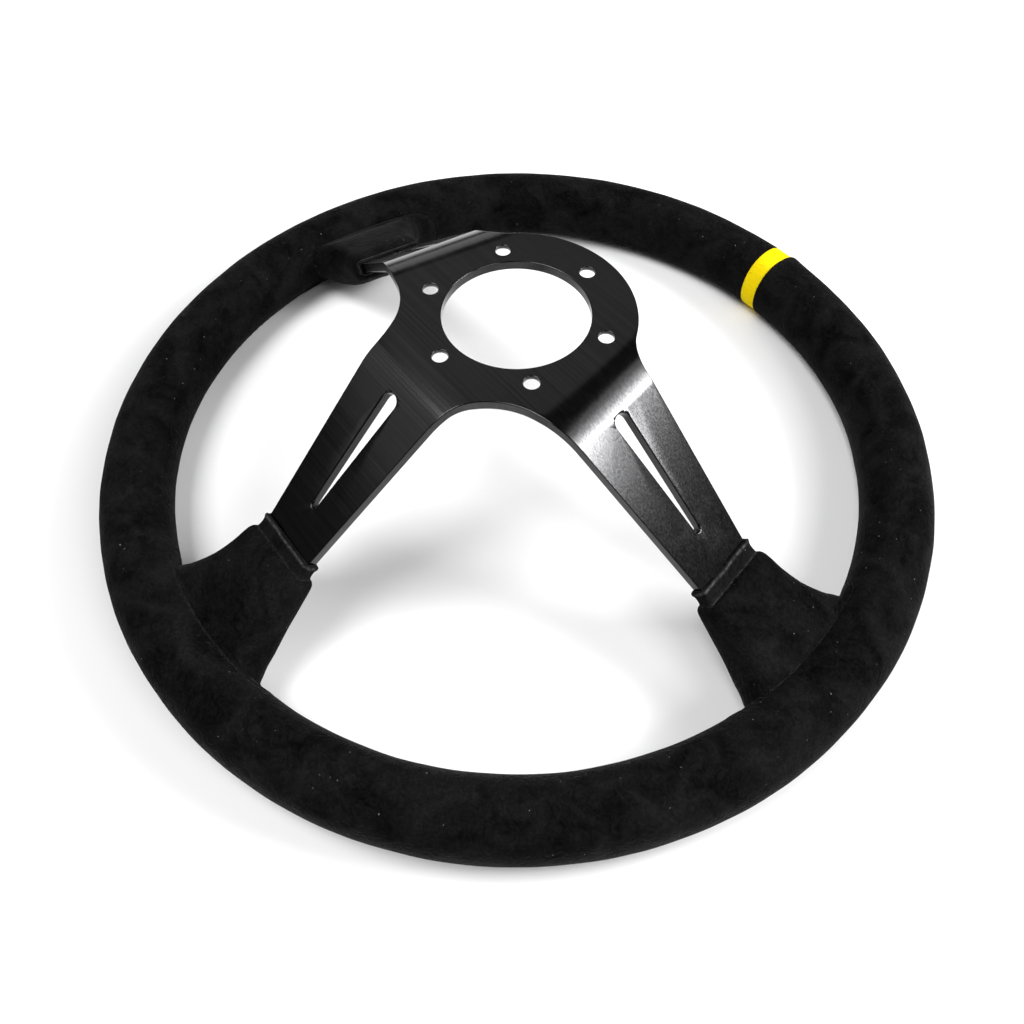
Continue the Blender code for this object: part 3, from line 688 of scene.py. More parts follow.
# %% Turn a mesh into a piece that rides with the wheel
def mark_lightened(mesh, amounts):
    """Store how much lighter grey goes on the suede at each point, from 0 to 1."""
    lightened = mesh.attributes.new("lightened", "FLOAT", "POINT")
    lightened.data.foreach_set("value", np.clip(amounts, 0, 1).astype(np.float32))


def add_piece(name, mesh, finish, replaced):
    """A smooth piece in one finish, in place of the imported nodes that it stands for."""
    mesh.materials.append(finish)
    mesh.shade_smooth()
    made = bpy.data.objects.new(name, mesh)
    bpy.context.scene.collection.objects.link(made)
    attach(made, "root")
    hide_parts(*replaced)
    return made


plate_mesh = bpy.data.meshes.new("bent_spoke_plate")
sheet.to_mesh(plate_mesh)
sheet.free()
plate = add_piece("bent_spoke_plate", plate_mesh, anodised, ["spoke_plate"])
even_shading = plate.modifiers.new("even_shading", "WEIGHTED_NORMAL")
even_shading.keep_sharp = True
print("plate:", len(plate_mesh.polygons), "faces")

# %% [markdown]
# ## A flat chart of the rim
#
# Upholsterers cut suede flat and wrap it round the rim. The mesh does the same: its points are laid out on a
# flat chart, where one direction runs along the wheel and the other round the grip, starting at the seam.
# A table turns the second distance into a place on the grip's section, which is a slightly squared oval.

# %% Measure the grip's section
section_turns = np.radians(np.linspace(SEAM_ANGLE - 360, SEAM_ANGLE, 1441))


def oval(turns, inset=0.0):
    """Distance from the rim's centre line and from its mid height, for angles round the section."""
    power = 2 / GRIP_SQUARENESS
    across = np.sign(np.cos(turns)) * np.abs(np.cos(turns)) ** power * (GRIP_WIDTH / 2 - inset)
    up = np.sign(np.sin(turns)) * np.abs(np.sin(turns)) ** power * (GRIP_HEIGHT / 2 - inset)
    return across, up


section_across, section_up = oval(section_turns)
steps_round = np.hypot(np.diff(section_across), np.diff(section_up))
section_length = np.concatenate([[0], np.cumsum(steps_round)])
ROUND_GRIP = float(section_length[-1])
CHART_RADIUS = 0.148


def length_at(section_angle):
    """Distance round the grip, from the seam to an angle of its section."""
    return float(np.interp(math.radians(section_angle), section_turns, section_length))


print("suede width round the grip, in mm:", round(1000 * ROUND_GRIP, 1))


# %% Wrap chart points round the rim
def wrap(along, around, lift):
    """3D points of chart points (arrays); lift is the height above the suede's plain surface."""
    around = np.mod(around, ROUND_GRIP)
    across = np.interp(around, section_length, section_across)
    up = np.interp(around, section_length, section_up)
    step = 0.0004
    ahead = np.mod(around + step, ROUND_GRIP)
    behind = np.mod(around - step, ROUND_GRIP)
    way_across, way_up = (
        np.interp(ahead, section_length, values) - np.interp(behind, section_length, values)
        for values in (section_across, section_up)
    )
    size = np.hypot(way_across, way_up)
    radius = RIM_RADIUS + across + lift * way_up / size
    height = GRIP_HEIGHT / 2 + up - lift * way_across / size
    turn = along / CHART_RADIUS
    return np.stack([radius * np.cos(turn), radius * np.sin(turn), height], axis=-1)


def lumps(points):
    """The small unevenness of hand-stretched suede, 1 where it stands highest."""
    x, y, z = points.T
    slow = np.sin(97 * x + 31 * z) * np.sin(83 * y - 41 * z + 1.3)
    fast = np.sin(241 * x + 133 * y + 0.7) * np.sin(211 * y - 167 * x + 190 * z)
    return 0.65 * slow + 0.35 * fast


print("test point:", wrap(np.array([0.0]), np.array([length_at(90)]), 0.0).round(4))

# %% [markdown]
# ## Seams
#
# Two pieces of suede meet in a turned seam: both edges roll down into the foam and touch. One rule gives all
# of them. The closer a point is to a cut edge, the deeper it sinks, along a quarter circle.

# %% Roll an edge down
ROLL = 0.0010
SEAM_DEPTH = 0.0008
EDGE_ROWS = [0.0, 0.00012, 0.0003, 0.0006, 0.0010, 0.0016]


def roll_down(distance, depth=SEAM_DEPTH):
    """How far a point sinks when it is that far from the cut edge."""
    inside = np.clip(1 - distance / ROLL, 0, 1)
    return depth * (1 - np.sqrt(1 - inside**2))


print("a seam's rows sink, in mm:", (1000 * roll_down(np.array(EDGE_ROWS))).round(2))


# %% Outline of a boot's foot
FOOT_HALF_WIDTH = 0.0400
FOOT_TOP_ANGLE = 143.0
FOOT_CORNER = 0.0110
FOOT_HEEL = 0.0040
FOOT_DEPTH = 0.00035
SEAM_HALF_GAP = 0.00015
BOTTOM_STEPS, HEEL_STEPS, SIDE_STEPS, CORNER_STEPS, TOP_STEPS = 12, 4, 12, 12, 14


def arch_points(half_width, bottom, top, heel, corner):
    """Half of a rounded shape, from the bottom's middle round the +X side to the top's middle."""
    points = [((half_width - heel) * (k / BOTTOM_STEPS) ** 1.7, bottom) for k in range(BOTTOM_STEPS)]
    for k in range(HEEL_STEPS):
        turn = math.pi / 2 * k / HEEL_STEPS
        points.append((half_width - heel + heel * math.sin(turn), bottom + heel * (1 - math.cos(turn))))
    for k in range(SIDE_STEPS):
        points.append((half_width, bottom + heel + (top - corner - bottom - heel) * k / SIDE_STEPS))
    for k in range(CORNER_STEPS):
        turn = math.pi / 2 * k / CORNER_STEPS
        points.append((half_width - corner + corner * math.cos(turn), top - corner + corner * math.sin(turn)))
    points += [((half_width - corner) * (1 - k / TOP_STEPS), top) for k in range(TOP_STEPS + 1)]
    return points


def closed_shape(half_width, bottom, top, heel, corner):
    """The whole rounded shape, both halves."""
    half = arch_points(half_width, bottom, top, heel, corner)
    return np.array(half + [(-x, y) for x, y in reversed(half[1:-1])])


def foot_place(arm):
    """Where an arm's centre line meets the inner side of the rim, along the chart."""
    return CHART_RADIUS * (math.radians(arm[1]) + math.asin(arm[2] / CHART_RADIUS))


FOOT_BOTTOM = ROUND_GRIP - SEAM_HALF_GAP
FOOT_TOP = length_at(FOOT_TOP_ANGLE)


def foot_outline(arm, grow=0.0):
    """A boot's foot on the chart: x along the wheel, y measured up from the seam."""
    tall = FOOT_BOTTOM - FOOT_TOP + grow
    shape = closed_shape(FOOT_HALF_WIDTH + grow, 0.0, tall, FOOT_HEEL + grow, FOOT_CORNER + grow)
    return np.stack([foot_place(arm) + shape[:, 0], FOOT_BOTTOM - shape[:, 1]], axis=-1)


print("foot's width and height, in mm:", (1000 * np.ptp(foot_outline(ARMS[0]), axis=0)).round(1))

# %% [markdown]
# ## The rim cover
#
# The cover is one long strip of suede. It starts and ends at the yellow mark, its long edges meet on the
# front inner side of the grip, and it is cut away where the boots come in. The chart is filled with points:
# a plain grid, extra rows along every cut edge, and the boots' outlines. A Delaunay triangulation joins them,
# and the triangles inside the boots' outlines are left out.

# %% Lay out the strip
MARK_TURN = 89.6
MARK_ALONG = CHART_RADIUS * math.radians(MARK_TURN)
MARK_HALF = MARK_HALF_WIDTH * CHART_RADIUS / RIM_RADIUS
WHOLE_TURN = CHART_RADIUS * math.tau
strip_start = MARK_ALONG + MARK_HALF
strip_end = MARK_ALONG + WHOLE_TURN - MARK_HALF
strip_low, strip_high = SEAM_HALF_GAP, FOOT_BOTTOM
GRID_ALONG, GRID_AROUND = 0.0024, 0.0019
EDGE_BAND = 0.0024


def with_edge_rows(low, high, step):
    """Evenly spaced values between two cut edges, with close rows next to both."""
    inner = np.linspace(low + EDGE_BAND, high - EDGE_BAND, int((high - low) / step))
    near = np.array(EDGE_ROWS)
    return np.concatenate([low + near, inner, (high - near)[::-1]])


grid_along = with_edge_rows(strip_start, strip_end, GRID_ALONG)
grid_around = with_edge_rows(strip_low, strip_high, GRID_AROUND)
grid = np.stack([way.ravel() for way in np.meshgrid(grid_along, grid_around)], axis=-1)
feet = []
for arm in ARMS:
    first_turn = foot_place(arm) % WHOLE_TURN
    turns = [first_turn + WHOLE_TURN * k for k in (0, 1)]
    feet.append(next(turn for turn in turns if strip_start < turn < strip_end) - foot_place(arm))
print("grid points:", len(grid))


# %% Distance from chart points to a boot's outline
def distance_to(points, line):
    """Distance from each point to the nearest of many closely spaced points on a line."""
    dense = []
    for first, last in zip(line, np.roll(line, -1, axis=0)):
        count = max(2, int(np.hypot(*(last - first)) / 0.0002))
        dense.append(first + (last - first) * np.linspace(0, 1, count)[:, None])
    dense = np.concatenate(dense)
    found = np.full(len(points), 9.0)
    near = np.abs(points[:, 0] - line[:, 0].mean()) < 0.06
    part = points[near]
    best = np.full(len(part), 9.0)
    for start in range(0, len(dense), 64):
        gaps = np.hypot(*(part[:, None, :] - dense[None, start:start + 64, :]).transpose(2, 0, 1))
        best = np.minimum(best, gaps.min(axis=1))
    found[near] = best
    return found


def inside_foot(points, arm, shift, grow=0.0):
    """Which chart points lie within a boot's outline, made larger by grow."""
    across = np.abs(points[:, 0] - foot_place(arm) - shift)
    up = FOOT_BOTTOM - points[:, 1]
    half_width, tall = FOOT_HALF_WIDTH + grow, FOOT_BOTTOM - FOOT_TOP + grow
    heel, corner = FOOT_HEEL + grow, FOOT_CORNER + grow
    past_corner = np.hypot(np.maximum(across - half_width + corner, 0), np.maximum(up - tall + corner, 0))
    past_heel = np.hypot(np.maximum(across - half_width + heel, 0), np.maximum(heel - up, 0))
    return (across < half_width) & (up < tall) & (past_corner < corner) & (past_heel < heel)


# %% Triangulate the strip
FOOT_BAND = 0.0022
CHART_ZOOM = 10
chart = [grid]
cut_lines = []
keep = np.ones(len(grid), bool)
for arm, shift in zip(ARMS, feet):
    keep &= ~inside_foot(grid, arm, shift, FOOT_BAND)
    for row in EDGE_ROWS:
        line = foot_outline(arm, row) + (shift, 0)
        line = line[line[:, 1] < strip_high + 1e-9]
        line[:, 1] = np.minimum(line[:, 1], strip_high)
        if row == 0:
            cut_lines.append(line)
        else:
            chart.append(line[BOTTOM_STEPS + HEEL_STEPS:len(line) - BOTTOM_STEPS - HEEL_STEPS + 1])
chart[0] = grid[keep]
edges = []
count = sum(len(part) for part in chart)
for line in cut_lines:
    edges += [(count + k, count + (k + 1) % len(line)) for k in range(len(line))]
    chart.append(line)
    count += len(line)
chart = np.concatenate(chart)
points, _, triangles, *_ = delaunay_2d_cdt([Vector(p) for p in chart * CHART_ZOOM], edges, [], 0, 1e-6)
points = np.array(points) / CHART_ZOOM
triangles = np.array(triangles)
middles = points[triangles].mean(axis=1)
gone = np.zeros(len(triangles), bool)
for arm, shift in zip(ARMS, feet):
    gone |= inside_foot(middles, arm, shift)
triangles = triangles[~gone]
print("strip triangles:", len(triangles))

# %% Wrap the strip round the rim
to_seam = np.minimum(points[:, 1] - strip_low, strip_high - points[:, 1])
to_mark = np.minimum(points[:, 0] - strip_start, strip_end - points[:, 0])
to_cut = np.minimum(to_seam, to_mark)
to_foot = np.min([distance_to(points, line) for line in cut_lines], axis=0)
LAP_HEIGHT, LAP_REACH = 0.0006, 0.0045
LAP_FADES_FROM, LAP_FADES_OVER = 0.003, 0.008
plain = wrap(points[:, 0], points[:, 1], 0.0)
off_table = np.clip((plain[:, 2] - LAP_FADES_FROM) / LAP_FADES_OVER, 0, 1)
lap = LAP_HEIGHT * off_table * np.exp(-(((strip_end - points[:, 0]) / LAP_REACH) ** 2))
LUMP_HEIGHT = 0.00018
sunk = np.maximum(roll_down(np.maximum(to_cut, 0)), roll_down(to_foot, FOOT_DEPTH))
lift = lap - sunk + LUMP_HEIGHT * lumps(plain)
wrapped = wrap(points[:, 0], points[:, 1], lift)


def outward_mesh(name, vertices, faces):
    """A mesh from points and faces, without loose points, turned so that its highest face looks up."""
    mesh = bpy.data.meshes.new(name)
    mesh.from_pydata(vertices.tolist(), [], faces)
    build = bmesh.new()
    build.from_mesh(mesh)
    loose = [vertex for vertex in build.verts if not vertex.link_faces]
    bmesh.ops.delete(build, geom=loose, context="VERTS")
    bmesh.ops.recalc_face_normals(build, faces=build.faces)
    if max(build.faces, key=lambda face: face.calc_center_median().z).normal.z < 0:
        bmesh.ops.reverse_faces(build, faces=build.faces)
    build.to_mesh(mesh)
    build.free()
    return mesh


def give_thickness(piece, thickness):
    """Thicken a skin inwards, so that its outer face stays where it is."""
    thick = piece.modifiers.new("suede_thickness", "SOLIDIFY")
    thick.thickness = thickness
    thick.offset = -1


cover_mesh = outward_mesh("suede_rim_cover", wrapped, triangles.tolist())
cover = add_piece("suede_rim_cover", cover_mesh, black_suede, ["rim_cover"])
give_thickness(cover, SUEDE)
print("cover faces:", len(cover_mesh.polygons))

# %% Work out the area the cover is cut from
real_scale = RIM_RADIUS / CHART_RADIUS
corners = points[triangles]
side_a, side_b = corners[:, 1] - corners[:, 0], corners[:, 2] - corners[:, 0]
twice_areas = np.abs(side_a[:, 0] * side_b[:, 1] - side_a[:, 1] * side_b[:, 0])
cut_area = float(twice_areas.sum() / 2) * real_scale

# %% [markdown]
# ## The yellow mark
#
# A narrow band of yellow suede shows where 12 o'clock is. It lies flush with the cover on one side and tucks
# under the cover's lapped end on the other. It is wrapped from the same chart.

# %% Wrap the yellow band
BAND_SINK = 0.00008
BAND_THINNER = 0.0002
BAND_STEP = 0.0012
near_edge = np.array(EDGE_ROWS[:5])
inner_places = np.linspace(-0.003, 0.003, 7)
across_band = np.concatenate([near_edge - MARK_HALF, inner_places, (MARK_HALF - near_edge)[::-1]])
round_band = with_edge_rows(strip_low, strip_high, BAND_STEP)
band_along, band_around = np.meshgrid(MARK_ALONG + across_band, round_band)
to_long_edge = MARK_HALF - np.abs(band_along - MARK_ALONG)
to_end = np.minimum(band_around - strip_low, strip_high - band_around)
band_lift = -BAND_SINK - 0.5 * roll_down(np.maximum(np.minimum(to_long_edge, to_end), 0)).ravel()
band = wrap(band_along.ravel(), band_around.ravel(), band_lift)


def grid_faces(rows, columns, closed_rows=False, closed_columns=False):
    """Faces between the points of a grid; a closed way joins its last points to its first."""
    faces = []
    for r in range(rows if closed_rows else rows - 1):
        this_row, next_row = r * columns, (r + 1) % rows * columns
        for c in range(columns if closed_columns else columns - 1):
            d = (c + 1) % columns
            faces.append((this_row + c, this_row + d, next_row + d, next_row + c))
    return faces


band_mesh = outward_mesh("yellow_centre_mark", band, grid_faces(*band_along.shape))
mark = add_piece("yellow_centre_mark", band_mesh, yellow_suede, ["centre_mark"])
give_thickness(mark, SUEDE - BAND_THINNER)
print("mark width in mm:", round(2000 * MARK_HALF_WIDTH, 1))

# %% [markdown]
# ## The boots
#
# A boot is a suede sleeve over moulded foam. At the cuff it is a flat tube round the arm; at the rim it opens
# out and runs smoothly into the grip. Each long line of the sleeve is a curve through the same point of
# every section. It starts steeply at the cuff, which makes the small bulge, and it ends lying on the rim's
# surface, which makes the hollow where boot and rim meet.

# %% Sections of a boot
CUFF_LENGTH = 0.007
# along the arm, height, tilt in degrees, half width, half height, lower corner, upper corner
BOOT_SECTIONS = [
    (0.1144, 0.0334, 40.0, 0.0176, 0.0066, 0.0045, 0.0045),
    (0.1208, 0.0288, 34.0, 0.0190, 0.0087, 0.0070, 0.0070),
    (0.1288, 0.0240, 27.0, 0.0212, 0.0103, 0.0086, 0.0086),
    (0.1368, 0.0203, 20.0, 0.0247, 0.0106, 0.0085, 0.0090),
    (0.1438, 0.0178, 12.0, 0.0288, 0.0096, 0.0084, 0.0084),
]
# past the cuff, half width, half height, corner
NECKS = [(0.0000, 0.0150, 0.0034, 0.0012), (0.0004, 0.0164, 0.0052, 0.0026)]


def boot_section(arm, along, height, tilt, half_width, half_height, heel, corner):
    """A rounded section square to the sleeve, which leans by the tilt there."""
    turn = math.radians(tilt)
    shape = closed_shape(half_width, -half_height, half_height, heel, corner)
    points = [arm_point(arm, along + y * math.sin(turn), x, height + y * math.cos(turn)) for x, y in shape]
    return np.array(points)


def boot_frame(arm):
    """The sleeve's sections from the cuff to the rim, as arrays of matching points."""
    sections = []
    for further, half_width, half_height, corner in NECKS:
        along, height, slope = arm_profile(CUFF_AT + CUFF_LENGTH + further)
        along -= PLATE / 2 * math.sin(slope)
        height -= PLATE / 2 * math.cos(slope)
        tilt = math.degrees(slope)
        sections.append(boot_section(arm, along, height, tilt, half_width, half_height, corner, corner))
    sections += [boot_section(arm, *numbers) for numbers in BOOT_SECTIONS]
    return sections


print("sections per boot:", len(boot_frame(ARMS[0])) + 1)


# %% Foot of a boot on the rim
def foot_on_rim(arm):
    """Points of the foot's edge on the rim, the outward direction there, and the way across the edge."""
    foot = foot_outline(arm)
    edge = wrap(foot[:, 0], foot[:, 1], 0.0)
    out = wrap(foot[:, 0], foot[:, 1], 0.001) - edge
    out /= np.linalg.norm(out, axis=1)[:, None]
    run = np.roll(edge, -1, axis=0) - np.roll(edge, 1, axis=0)
    across = np.cross(run, out)
    across /= np.linalg.norm(across, axis=1)[:, None]
    away = edge - edge.mean(axis=0)
    across *= np.sign((across * away).sum(axis=1))[:, None]
    return edge, out, across


foot_edge = foot_on_rim(ARMS[0])[0]
print("foot spans, in mm:", (1000 * np.ptp(foot_edge, axis=0)).round(1))

# %% Draw the sleeve's long lines
ROWS_BETWEEN = [3, 4, 4, 4, 5, 5]
LAST_ROWS = [0.12, 0.24, 0.36, 0.48, 0.59, 0.69, 0.78]
FOOT_PULL = 1.25


def sleeve(arm):
    """Rows of points from the cuff to the rim."""
    knots = boot_frame(arm)
    edge, out, across = foot_on_rim(arm)
    knots.append(edge)
    gaps = [np.linalg.norm(b - a, axis=1).mean() for a, b in zip(knots, knots[1:])]
    places = np.concatenate([[0], np.cumsum(gaps)])
    slopes = [(knots[1] - knots[0]) / gaps[0]]
    for k in range(1, len(knots) - 1):
        slopes.append((knots[k + 1] - knots[k - 1]) / (places[k + 1] - places[k - 1]))
    reach = np.linalg.norm(knots[-1] - knots[-2], axis=1)[:, None]
    slopes.append(across * FOOT_PULL * reach / gaps[-1])
    slopes[-2] = (slopes[-2] + (knots[-2] - knots[-3]) / gaps[-2]) / 2
    rows = []
    for k, (first, last) in enumerate(zip(knots, knots[1:])):
        final = k == len(gaps) - 1
        for t in ([0.0] + LAST_ROWS if final else np.arange(ROWS_BETWEEN[k]) / ROWS_BETWEEN[k]):
            a = 2 * t**3 - 3 * t**2 + 1
            b = t**3 - 2 * t**2 + t
            c = -2 * t**3 + 3 * t**2
            d = t**3 - t**2
            rows.append(a * first + b * gaps[k] * slopes[k] + c * last + d * gaps[k] * slopes[k + 1])
    for distance in EDGE_ROWS[-2::-1]:
        rows.append(edge - across * distance - out * float(roll_down(distance, FOOT_DEPTH)))
    return rows


print("rows per boot:", len(sleeve(ARMS[0])))

# %% Sink the seam under a boot
SEAM_SIDE = 0.004


def seam_below(rows):
    """Sink the sleeve along its seam, which runs under the arm."""
    sunk = []
    for r, row in enumerate(rows):
        middle = row[0]
        side = row[1] - row[-1]
        side /= np.linalg.norm(side)
        ahead = rows[min(r + 1, len(rows) - 1)][0] - rows[max(r - 1, 0)][0]
        below = np.cross(side, ahead)
        below /= np.linalg.norm(below)
        below *= np.sign(below[2]) if abs(below[2]) > 1e-6 else 1
        distance = np.abs((row - middle) @ side)
        under = ((row - middle) @ below) < SEAM_SIDE
        sunk.append(row + np.outer(np.where(under, roll_down(distance), 0), below))
    return sunk


# %% Stretch the suede over the foam
BOOT_THICKNESS = 0.0010
FOAM_GAP = 0.00015
FOAM_SEARCH = 0.004
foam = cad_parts["foam_grip"]
foam_points = [foam.matrix_world @ vertex.co for vertex in foam.data.vertices]
foam_surface = BVHTree.FromPolygons(foam_points, [face.vertices for face in foam.data.polygons])


def clear_of_foam(points, clearance):
    """Push points out until they stand clear of the foam, as stretched suede does."""
    moved = points.copy()
    for k, point in enumerate(points):
        nearest, normal, _, distance = foam_surface.find_nearest(Vector(point))
        height = (Vector(point) - nearest).dot(normal)
        if distance < FOAM_SEARCH and height < clearance:
            moved[k] = point + np.array(normal) * (clearance - height)
    return moved


print("foam faces:", len(foam.data.polygons))


# %% Build the boots
# Along the top of each boot, near its foot, the suede gets a faint lighter grey line in its colour.
FOOT_LIGHTENED = 0.22
FOOT_LIGHTENED_ROWS = 5
TUCKED_ROWS = 8
BOOT_LUMP_HEIGHT, BOOT_LUMP_SCALE = 0.00015, 1.6
BOOT_LUMP_WAYS = np.array([0.3, 0.3, 1.0])
TOP_MIDDLE = BOTTOM_STEPS + HEEL_STEPS + SIDE_STEPS + CORNER_STEPS + TOP_STEPS
boots = {}
for arm in ARMS:
    rows = seam_below(sleeve(arm))
    count = len(rows[0])
    points = np.concatenate(rows)
    points += (BOOT_LUMP_HEIGHT * lumps(points * BOOT_LUMP_SCALE))[:, None] * BOOT_LUMP_WAYS
    over_foam = TUCKED_ROWS * count
    points[over_foam:] = clear_of_foam(points[over_foam:], BOOT_THICKNESS + FOAM_GAP)
    mesh = outward_mesh(f"suede_boot_{arm[0]}", points, grid_faces(len(rows), count, closed_columns=True))
    rows_to_foot = np.arange(len(rows))[::-1]
    near_foot = np.repeat(np.maximum(0.0, 1 - rows_to_foot / FOOT_LIGHTENED_ROWS), count)
    along_top = np.tile(np.exp(-(((np.arange(count) - count / 2) / TOP_STEPS) ** 4)), len(rows))
    mark_lightened(mesh, FOOT_LIGHTENED * near_foot * along_top)
    piece = add_piece(f"suede_boot_{arm[0]}", mesh, black_suede, [f"boot_{arm[0]}"])
    give_thickness(piece, BOOT_THICKNESS)
    cut_length = float(np.linalg.norm(np.diff([row[TOP_MIDDLE] for row in rows], axis=0), axis=1).sum())
    cut_width = float(np.linalg.norm(np.roll(rows[-1], -1, axis=0) - rows[-1], axis=1).sum())
    cut_area = sum(face.area for face in mesh.polygons)
    cut_sizes = [round(1000 * cut_width), round(1000 * cut_length), round(1e6 * cut_area)]
    print("cut for boot", arm[0], "in mm and square mm:", cut_sizes)
    boots[arm[0]] = rows

# %% [markdown]
# ## The cuffs
#
# Where the boot ends, a strip of suede is folded in two and glued round the arm. The fold faces the hub and
# stands a little proud, and the strip is pulled in behind it. A section across the strip gives its thickness,
# and a gentle wave keeps its edges from looking machine made.

# %% Wrap the cuffs
# place along the strip, thickness of the strip there, how much lighter grey is painted there as a highlight
CUFF_SECTION = [
    (0.0000, 0.0006, 0.0),
    (0.0001, 0.0011, 0.0),
    (0.0004, 0.0015, 0.25),
    (0.0009, 0.0016, 0.75),
    (0.0015, 0.0014, 0.2),
    (0.0022, 0.0011, 0.0),
    (0.0036, 0.0010, 0.0),
    (0.0050, 0.0011, 0.0),
    (0.0060, 0.0013, 0.05),
    (0.0067, 0.0013, 0.35),
    (0.0070, 0.0010, 0.1),
]
CUFF_GAP = 0.0001
CUFF_CORNER = 0.0003
CUFF_WAVE, CUFF_RIPPLE = 0.00022, 0.00012


def round_arm(arm, length, growth):
    """Points round the arm at one length, standing off from its surface."""
    corner = growth + CUFF_CORNER
    half_width, half_height = arm_half_width(length) + growth, PLATE / 2 + growth
    shape = closed_shape(half_width, -half_height, half_height, corner, corner)
    return np.array([bent_point(arm, length, x, PLATE / 2 - y) for x, y in shape])


for arm in ARMS:
    ring_wave = np.linspace(0, math.tau, len(round_arm(arm, CUFF_AT, 0.001)), endpoint=False)
    ahead = round_arm(arm, CUFF_AT + 0.001, 0.001) - round_arm(arm, CUFF_AT, 0.001)
    ahead /= np.linalg.norm(ahead, axis=1)[:, None]
    sway = CUFF_WAVE * np.sin(3 * ring_wave + arm[1]) + CUFF_RIPPLE * np.sin(8 * ring_wave + 1.0)
    rings, lightened = [], []
    # The fold and the crease by the far edge get a painted highlight: lighter grey in the suede's colour.
    for length, thickness, painted_highlight in CUFF_SECTION:
        ring = round_arm(arm, CUFF_AT + length, CUFF_GAP + thickness)
        rings.append(ring + ahead * (sway * (1 - length / CUFF_LENGTH))[:, None])
        lightened.append(painted_highlight)
    for length, *_ in reversed(CUFF_SECTION[::2]):
        rings.append(round_arm(arm, CUFF_AT + length, CUFF_GAP))
        lightened.append(0.0)
    count = len(ring_wave)
    faces = grid_faces(len(rings), count, closed_rows=True, closed_columns=True)
    mesh = outward_mesh(f"suede_cuff_{arm[0]}", np.concatenate(rings), faces)
    mark_lightened(mesh, np.repeat(lightened, count))
    add_piece(f"suede_cuff_{arm[0]}", mesh, cuff_suede, [f"cuff_{arm[0]}"])
print("cuffs:", len(ARMS))

# %% [markdown]
# ## Stitches
#
# The seams are sewn by hand with waxed thread. Each stitch crosses the seam at a slant, dives into the suede
# on both sides and stands up a little in the middle. One short tube makes a stitch, and every seam is a row
# of them. The seam runs round the front inner side of the grip, and along the underside of each boot.

# %% Make one stitch
THREAD_RADIUS = 0.00042
STITCH_REACH = 0.0017
STITCH_PITCH = 0.0042
STITCH_SLANT = 0.0012
STITCH_RISE = -0.0002
STITCH_DIVE = 0.0009
STITCH_POINTS = 9
THREAD_SIDES = 8


def tube(path):
    """A closed tube along a short path: points and faces."""
    points, faces = [], []
    for k, place_now in enumerate(path):
        way = (path[min(k + 1, len(path) - 1)] - path[max(k - 1, 0)]).normalized()
        side = way.cross(Vector((0.31, 0.17, 0.93))).normalized()
        up = side.cross(way)
        for s in range(THREAD_SIDES):
            turn = math.tau * s / THREAD_SIDES
            points.append(place_now + (side * math.cos(turn) + up * math.sin(turn)) * THREAD_RADIUS)
    for k in range(len(path) - 1):
        for s in range(THREAD_SIDES):
            t = (s + 1) % THREAD_SIDES
            a, b = k * THREAD_SIDES, (k + 1) * THREAD_SIDES
            faces.append((a + s, a + t, b + t, b + s))
    faces.append(tuple(range(THREAD_SIDES)))
    faces.append(tuple(range(len(points) - 1, len(points) - 1 - THREAD_SIDES, -1)))
    return points, faces


def stitch_shape():
    """Steps of one stitch: across the seam, along it, and above the surface."""
    steps = []
    for k in range(STITCH_POINTS):
        t = 2 * k / (STITCH_POINTS - 1) - 1
        steps.append((STITCH_REACH * t, STITCH_SLANT * t, STITCH_RISE - STITCH_DIVE * t**4))
    return steps


print("points in one stitch:", STITCH_POINTS * THREAD_SIDES)


# %% Sew a row of stitches
def sew(name, node, paths):
    """One piece with a tube along each path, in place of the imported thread."""
    points, faces = [], []
    for path in paths:
        new_points, new_faces = tube(path)
        faces += [tuple(len(points) + k for k in face) for face in new_faces]
        points += new_points
    mesh = bpy.data.meshes.new(name)
    mesh.from_pydata(points, [], faces)
    build = bmesh.new()
    build.from_mesh(mesh)
    bmesh.ops.recalc_face_normals(build, faces=build.faces)
    build.to_mesh(mesh)
    build.free()
    add_piece(name, mesh, thread_finish, [node])
    return len(paths)


STOP_BEFORE_BOOT = 0.002
STOP_BEFORE_MARK = 0.003
seam_stops = []
for arm, shift in zip(ARMS, feet):
    middle = foot_place(arm) + shift
    clear = FOOT_HALF_WIDTH + STOP_BEFORE_BOOT
    seam_stops.append((middle - clear, middle + clear))
seam_stops.sort()
starts = [strip_start + STOP_BEFORE_MARK] + [last for _, last in seam_stops]
ends = [first for first, _ in seam_stops] + [strip_end - STOP_BEFORE_MARK]
sewn = 0
for number, (start, end) in enumerate(zip(starts, ends), 1):
    amount = int((end - start) / STITCH_PITCH)
    paths = []
    for k in range(amount):
        middle = start + (end - start) * (k + 0.5) / amount
        steps = np.array(stitch_shape())
        on_rim = wrap(middle + steps[:, 1], steps[:, 0], steps[:, 2])
        paths.append([Vector(p) for p in on_rim])
    sewn += sew(f"rim_stitches_{number}", f"rim_thread_{number}", paths)
print("stitches round the rim:", sewn)

# %% Sew the boots
UNSEWN_AT_CUFF, UNSEWN_AT_RIM = 5, 7


def along_line(line, run, at):
    """The point of a line at a distance along it."""
    return Vector([float(np.interp(at, run, line[:, i])) for i in range(3)])


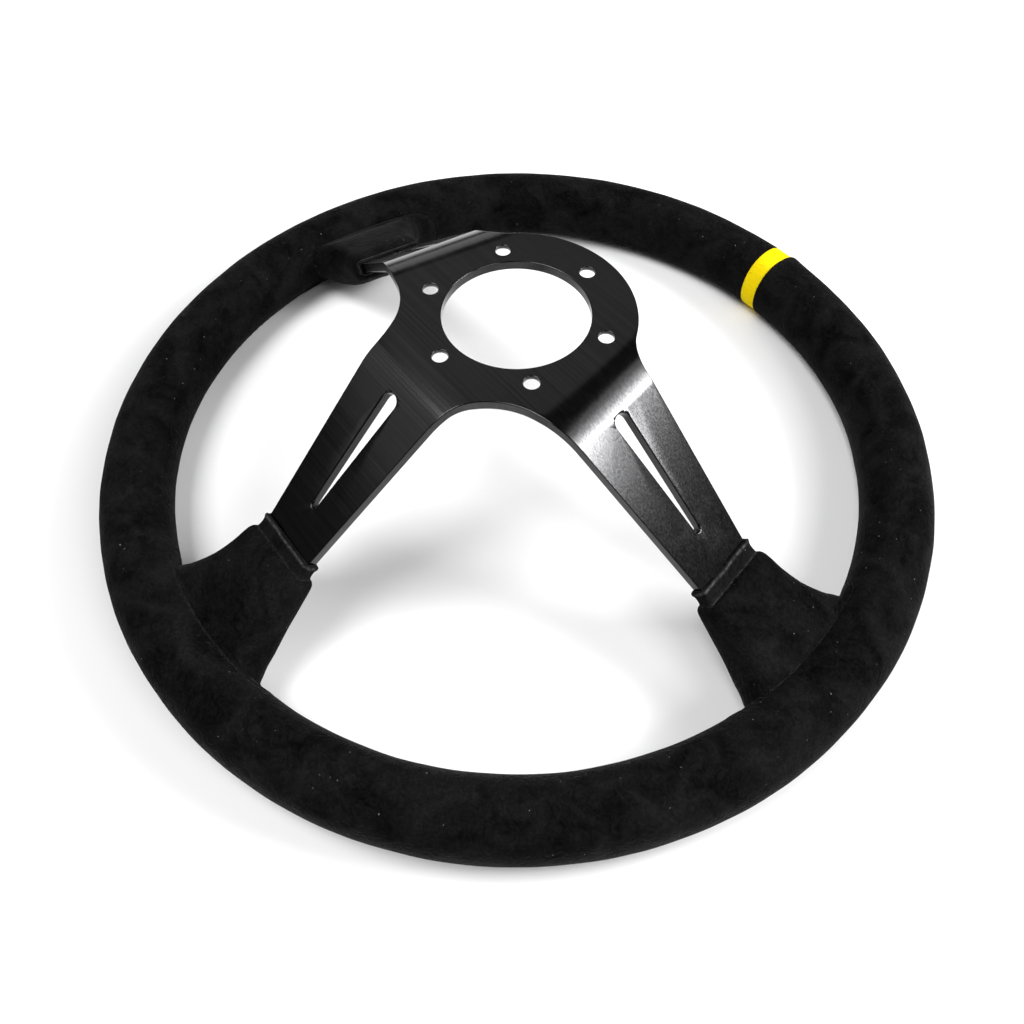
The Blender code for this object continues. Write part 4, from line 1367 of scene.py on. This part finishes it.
for arm in ARMS:
    line = np.array([row[0] for row in boots[arm[0]][UNSEWN_AT_CUFF:-UNSEWN_AT_RIM]])
    run = np.concatenate([[0], np.cumsum(np.linalg.norm(np.diff(line, axis=0), axis=1))])
    across = arm_ways(arm)[1]
    amount = int(run[-1] / STITCH_PITCH)
    paths = []
    for k in range(amount):
        steps = []
        for side, ahead, above in stitch_shape():
            at = run[-1] * (k + 0.5) / amount + ahead
            before, after = along_line(line, run, at - 0.001), along_line(line, run, at + 0.001)
            below = across.cross(after - before).normalized()
            below = -below if below.z > 0 else below
            steps.append(along_line(line, run, at) + across * side + below * (above + SEAM_DEPTH))
        paths.append(steps)
    sew(f"boot_stitches_{arm[0]}", f"boot_thread_{arm[0]}", paths)
print("stitches under a boot:", amount)

# %% [markdown]
# ## The pieces inside the rim
#
# The ring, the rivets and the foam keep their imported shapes. Each gets its real finish in place of the plain
# one that came with the model.

# %% Finish the inner pieces
INNER = {"core_ring": zinc, "foam_grip": foam_finish}
for arm in ARMS:
    INNER[f"rivet_{arm[0]}_1"] = rivet_metal
    INNER[f"rivet_{arm[0]}_2"] = rivet_metal
for name, finish in INNER.items():
    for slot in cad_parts[name].material_slots:
        slot.material = finish
print("inner pieces:", len(INNER))

# %% [markdown]
# ## The table
#
# The wheel lies on a plain white table. A wide square is enough: the lamps make it white, and the wheel
# leaves its soft shadows on it. It lies a hair below the wheel, so that the two never share a surface.

# %% Lay the table
TABLE_HALF_SIZE = 4.0
TABLE_DROP = 0.0003
floor_mesh = bpy.data.meshes.new("white_table")
signs = [(-1, -1), (1, -1), (1, 1), (-1, 1)]
table_corners = [(x * TABLE_HALF_SIZE, y * TABLE_HALF_SIZE, 0) for x, y in signs]
floor_mesh.from_pydata(table_corners, [], [(0, 1, 2, 3)])
table_finish, tree, shader = new_finish("matt_white_table", roughness=0.9)
shader.inputs["Base Color"].default_value = (0.9, 0.9, 0.9, 1)
shader.inputs["Specular IOR Level"].default_value = 0.2
floor_mesh.materials.append(table_finish)
floor = bpy.data.objects.new("white_table", floor_mesh)
floor.location.z = -TABLE_DROP
bpy.context.scene.collection.objects.link(floor)
print("table side, in m:", 2 * TABLE_HALF_SIZE)
